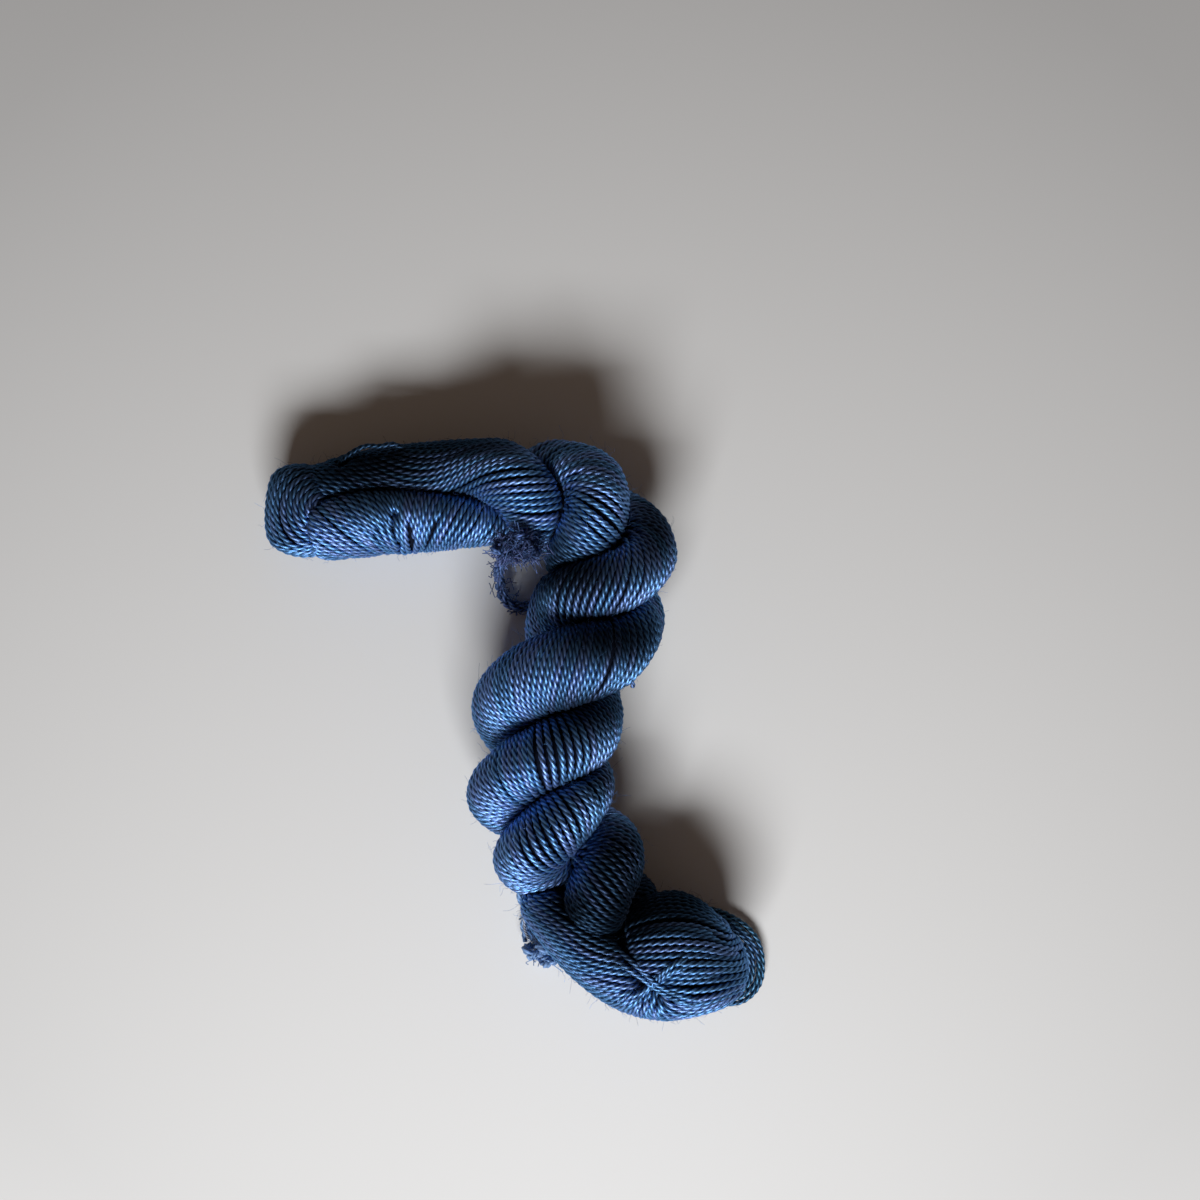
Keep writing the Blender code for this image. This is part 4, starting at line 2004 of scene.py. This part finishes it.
@dataclass
class Tie:
    """A tie: its knot and its loose end, with the fibres that fray out of them.

    Attributes:
        name: Start of its pieces' names.
        route: Points that the loose end's centreline runs through, in millimetres.
        knot: Its knot.
        frays: Fibres at the knot.
        longest_fibre: Their longest reach.
        thread_route: Points of the pale thread on it, or None.
        fibre_radius: Radius of the fibres.
        shortest_fibre: Their shortest reach.
        fibre_wave: Size of their small waves.
        fibre_root: Distance of the roots from the loose end's centreline.
        knot_frays_for_one: Fibres at the knot for each one along the loose end.
        places: Place of each yarn beside and above the centreline.
        diameter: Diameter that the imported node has.
        twist: Length of one turn of the yarns round each other.
        gauge: Build of the yarns.
        thread_gauge: Build of the pale thread.
    """

    name: str
    route: Rows
    knot: TieKnot
    frays: int
    longest_fibre: float
    thread_route: Rows | None = None
    fibre_radius: float = 0.14
    shortest_fibre: float = 0.9
    fibre_wave: float = 0.45
    fibre_root: float = 1.2
    knot_frays_for_one: int = 8
    places: Rows = ((0.92, 0.0), (-0.46, 0.80), (-0.46, -0.80))
    diameter: float = 3.2
    twist: float = 12.0
    gauge: Gauge = field(default_factory=lambda: Gauge(radius=0.80, pitch=5.6))
    thread_gauge: Gauge = field(
        default_factory=lambda: Gauge(radius=0.46, groove=0.25, pitch=3.0)
    )

    def build(self, material: bpy.types.Material, thread: bpy.types.Material) -> None:
        """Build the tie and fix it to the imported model.

        Args:
            material: Finish of its yarn.
            thread: Finish of the thread that lies on it, where it has one.
        """
        loose = LooseYarn(
            f"{self.name}_end_yarn", self.route, self.diameter, self.places, self.gauge,
            "tie_yarn", twist=self.twist,
        )
        lump = self.knot.build(material)
        others = [lump, self.fray(loose).build(material)]
        if self.thread_route:
            pale = ShortYarn("pale_thread", self.thread_route, self.thread_gauge)
            others.append(pale.build(thread))
        for piece in others:
            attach(piece, "root")
        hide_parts(f"{self.name}_knot")
        loose.declare(loose.build(material), "knot", others)
        LOG.info("%s: %.1f mm long", loose.name, run_along(loose.path())[-1])

    def fray(self, loose: LooseYarn) -> Fibres:
        """Let fibres stand out of the knot and along the loose end.

        Args:
            loose: The loose end.

        Returns:
            The fibres, not yet built.
        """
        fibres = Fibres(
            f"{self.name}_fray", self.fibre_radius, self.shortest_fibre, self.longest_fibre,
            self.fibre_wave, seed=self.knot.seed + 3,
        )
        self.knot.fray(fibres, self.frays)
        count = self.frays // self.knot_frays_for_one
        random = np.random.default_rng(count)
        path, beside, above = loose.frames()
        for index in random.integers(2, len(path) - 2, count):
            turn = random.uniform(0.0, 2.0 * math.pi)
            way = math.cos(turn) * beside[index] + math.sin(turn) * above[index]
            fibres.stand_at(path[index] + self.fibre_root * way, way)
        return fibres


@dataclass
class LooseParts:
    """The two ties, the end loop and the short yarns.

    Attributes:
        upper: The tie at the inner side of the bend.
        lower: The tie at the lower left.
        loop: The loose loop beside the folded end.
    """

    upper: Tie = field(default_factory=lambda: Tie(
        "upper_tie", UPPER_TIE_ROUTE,
        TieKnot("upper_tie_knot_yarn", (4.4, 50.5, 32.4), (7.2, 4.0, 4.4), -4.0, 21),
        frays=420, longest_fibre=2.4,
    ))
    lower: Tie = field(default_factory=lambda: Tie(
        "lower_tie", LOWER_TIE_ROUTE,
        TieKnot(
            "lower_tie_knot_yarn", (9.8, -66.5, 3.6), (5.8, 3.5, 3.4), -20.0, 31,
            gauge=Gauge(radius=1.10, pitch=6.4),
        ),
        frays=26, longest_fibre=1.5, thread_route=PALE_THREAD_ROUTE,
    ))
    loop: LooseYarn = field(default_factory=lambda: LooseYarn(
        "end_loop_yarn", END_LOOP_ROUTE, 4.4,
        ((-1.5, 0.0), (-0.1, 0.7), (1.3, 0.0), (2.6, 0.5), (3.5, -0.2)),
        Gauge(radius=0.80, pitch=6.4), "loop_yarn", tail=2.0,
    ))

    def build(self, yarn: bpy.types.Material) -> None:
        """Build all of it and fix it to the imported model.

        Args:
            yarn: Finish of the hank's own yarn.
        """
        thread = PALE_THREAD.material()
        self.upper.build(WOOLLY_TIE_YARN.material(), thread)
        self.lower.build(PALE_TIE_YARN.material(), thread)
        self.loop.declare(self.loop.build(FLECKED_YARN.material()), "object", [])
        LOG.info("%s: %.1f mm long", self.loop.name, run_along(self.loop.path())[-1])
        for name, route in SHORT_YARNS.items():
            piece = ShortYarn(name, route).build(yarn)
            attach(piece, "root")
            LOG.info("%s: short yarn", name)


def main() -> None:
    """Build the picture: studio, loose parts, then the hank."""
    logging.basicConfig(level=logging.INFO, format="%(name)s %(message)s")
    studio = Studio()
    studio.build_camera()
    studio.build_key()
    studio.build_sky()
    studio.build_floor(FloorFinish().material())
    yarn = NAVY_YARN.material()
    LooseParts().build(yarn)
    hank = Hank()
    hank.build(yarn, CoreFinish().material())
    hank.place()


if __name__ == "__main__":
    main()
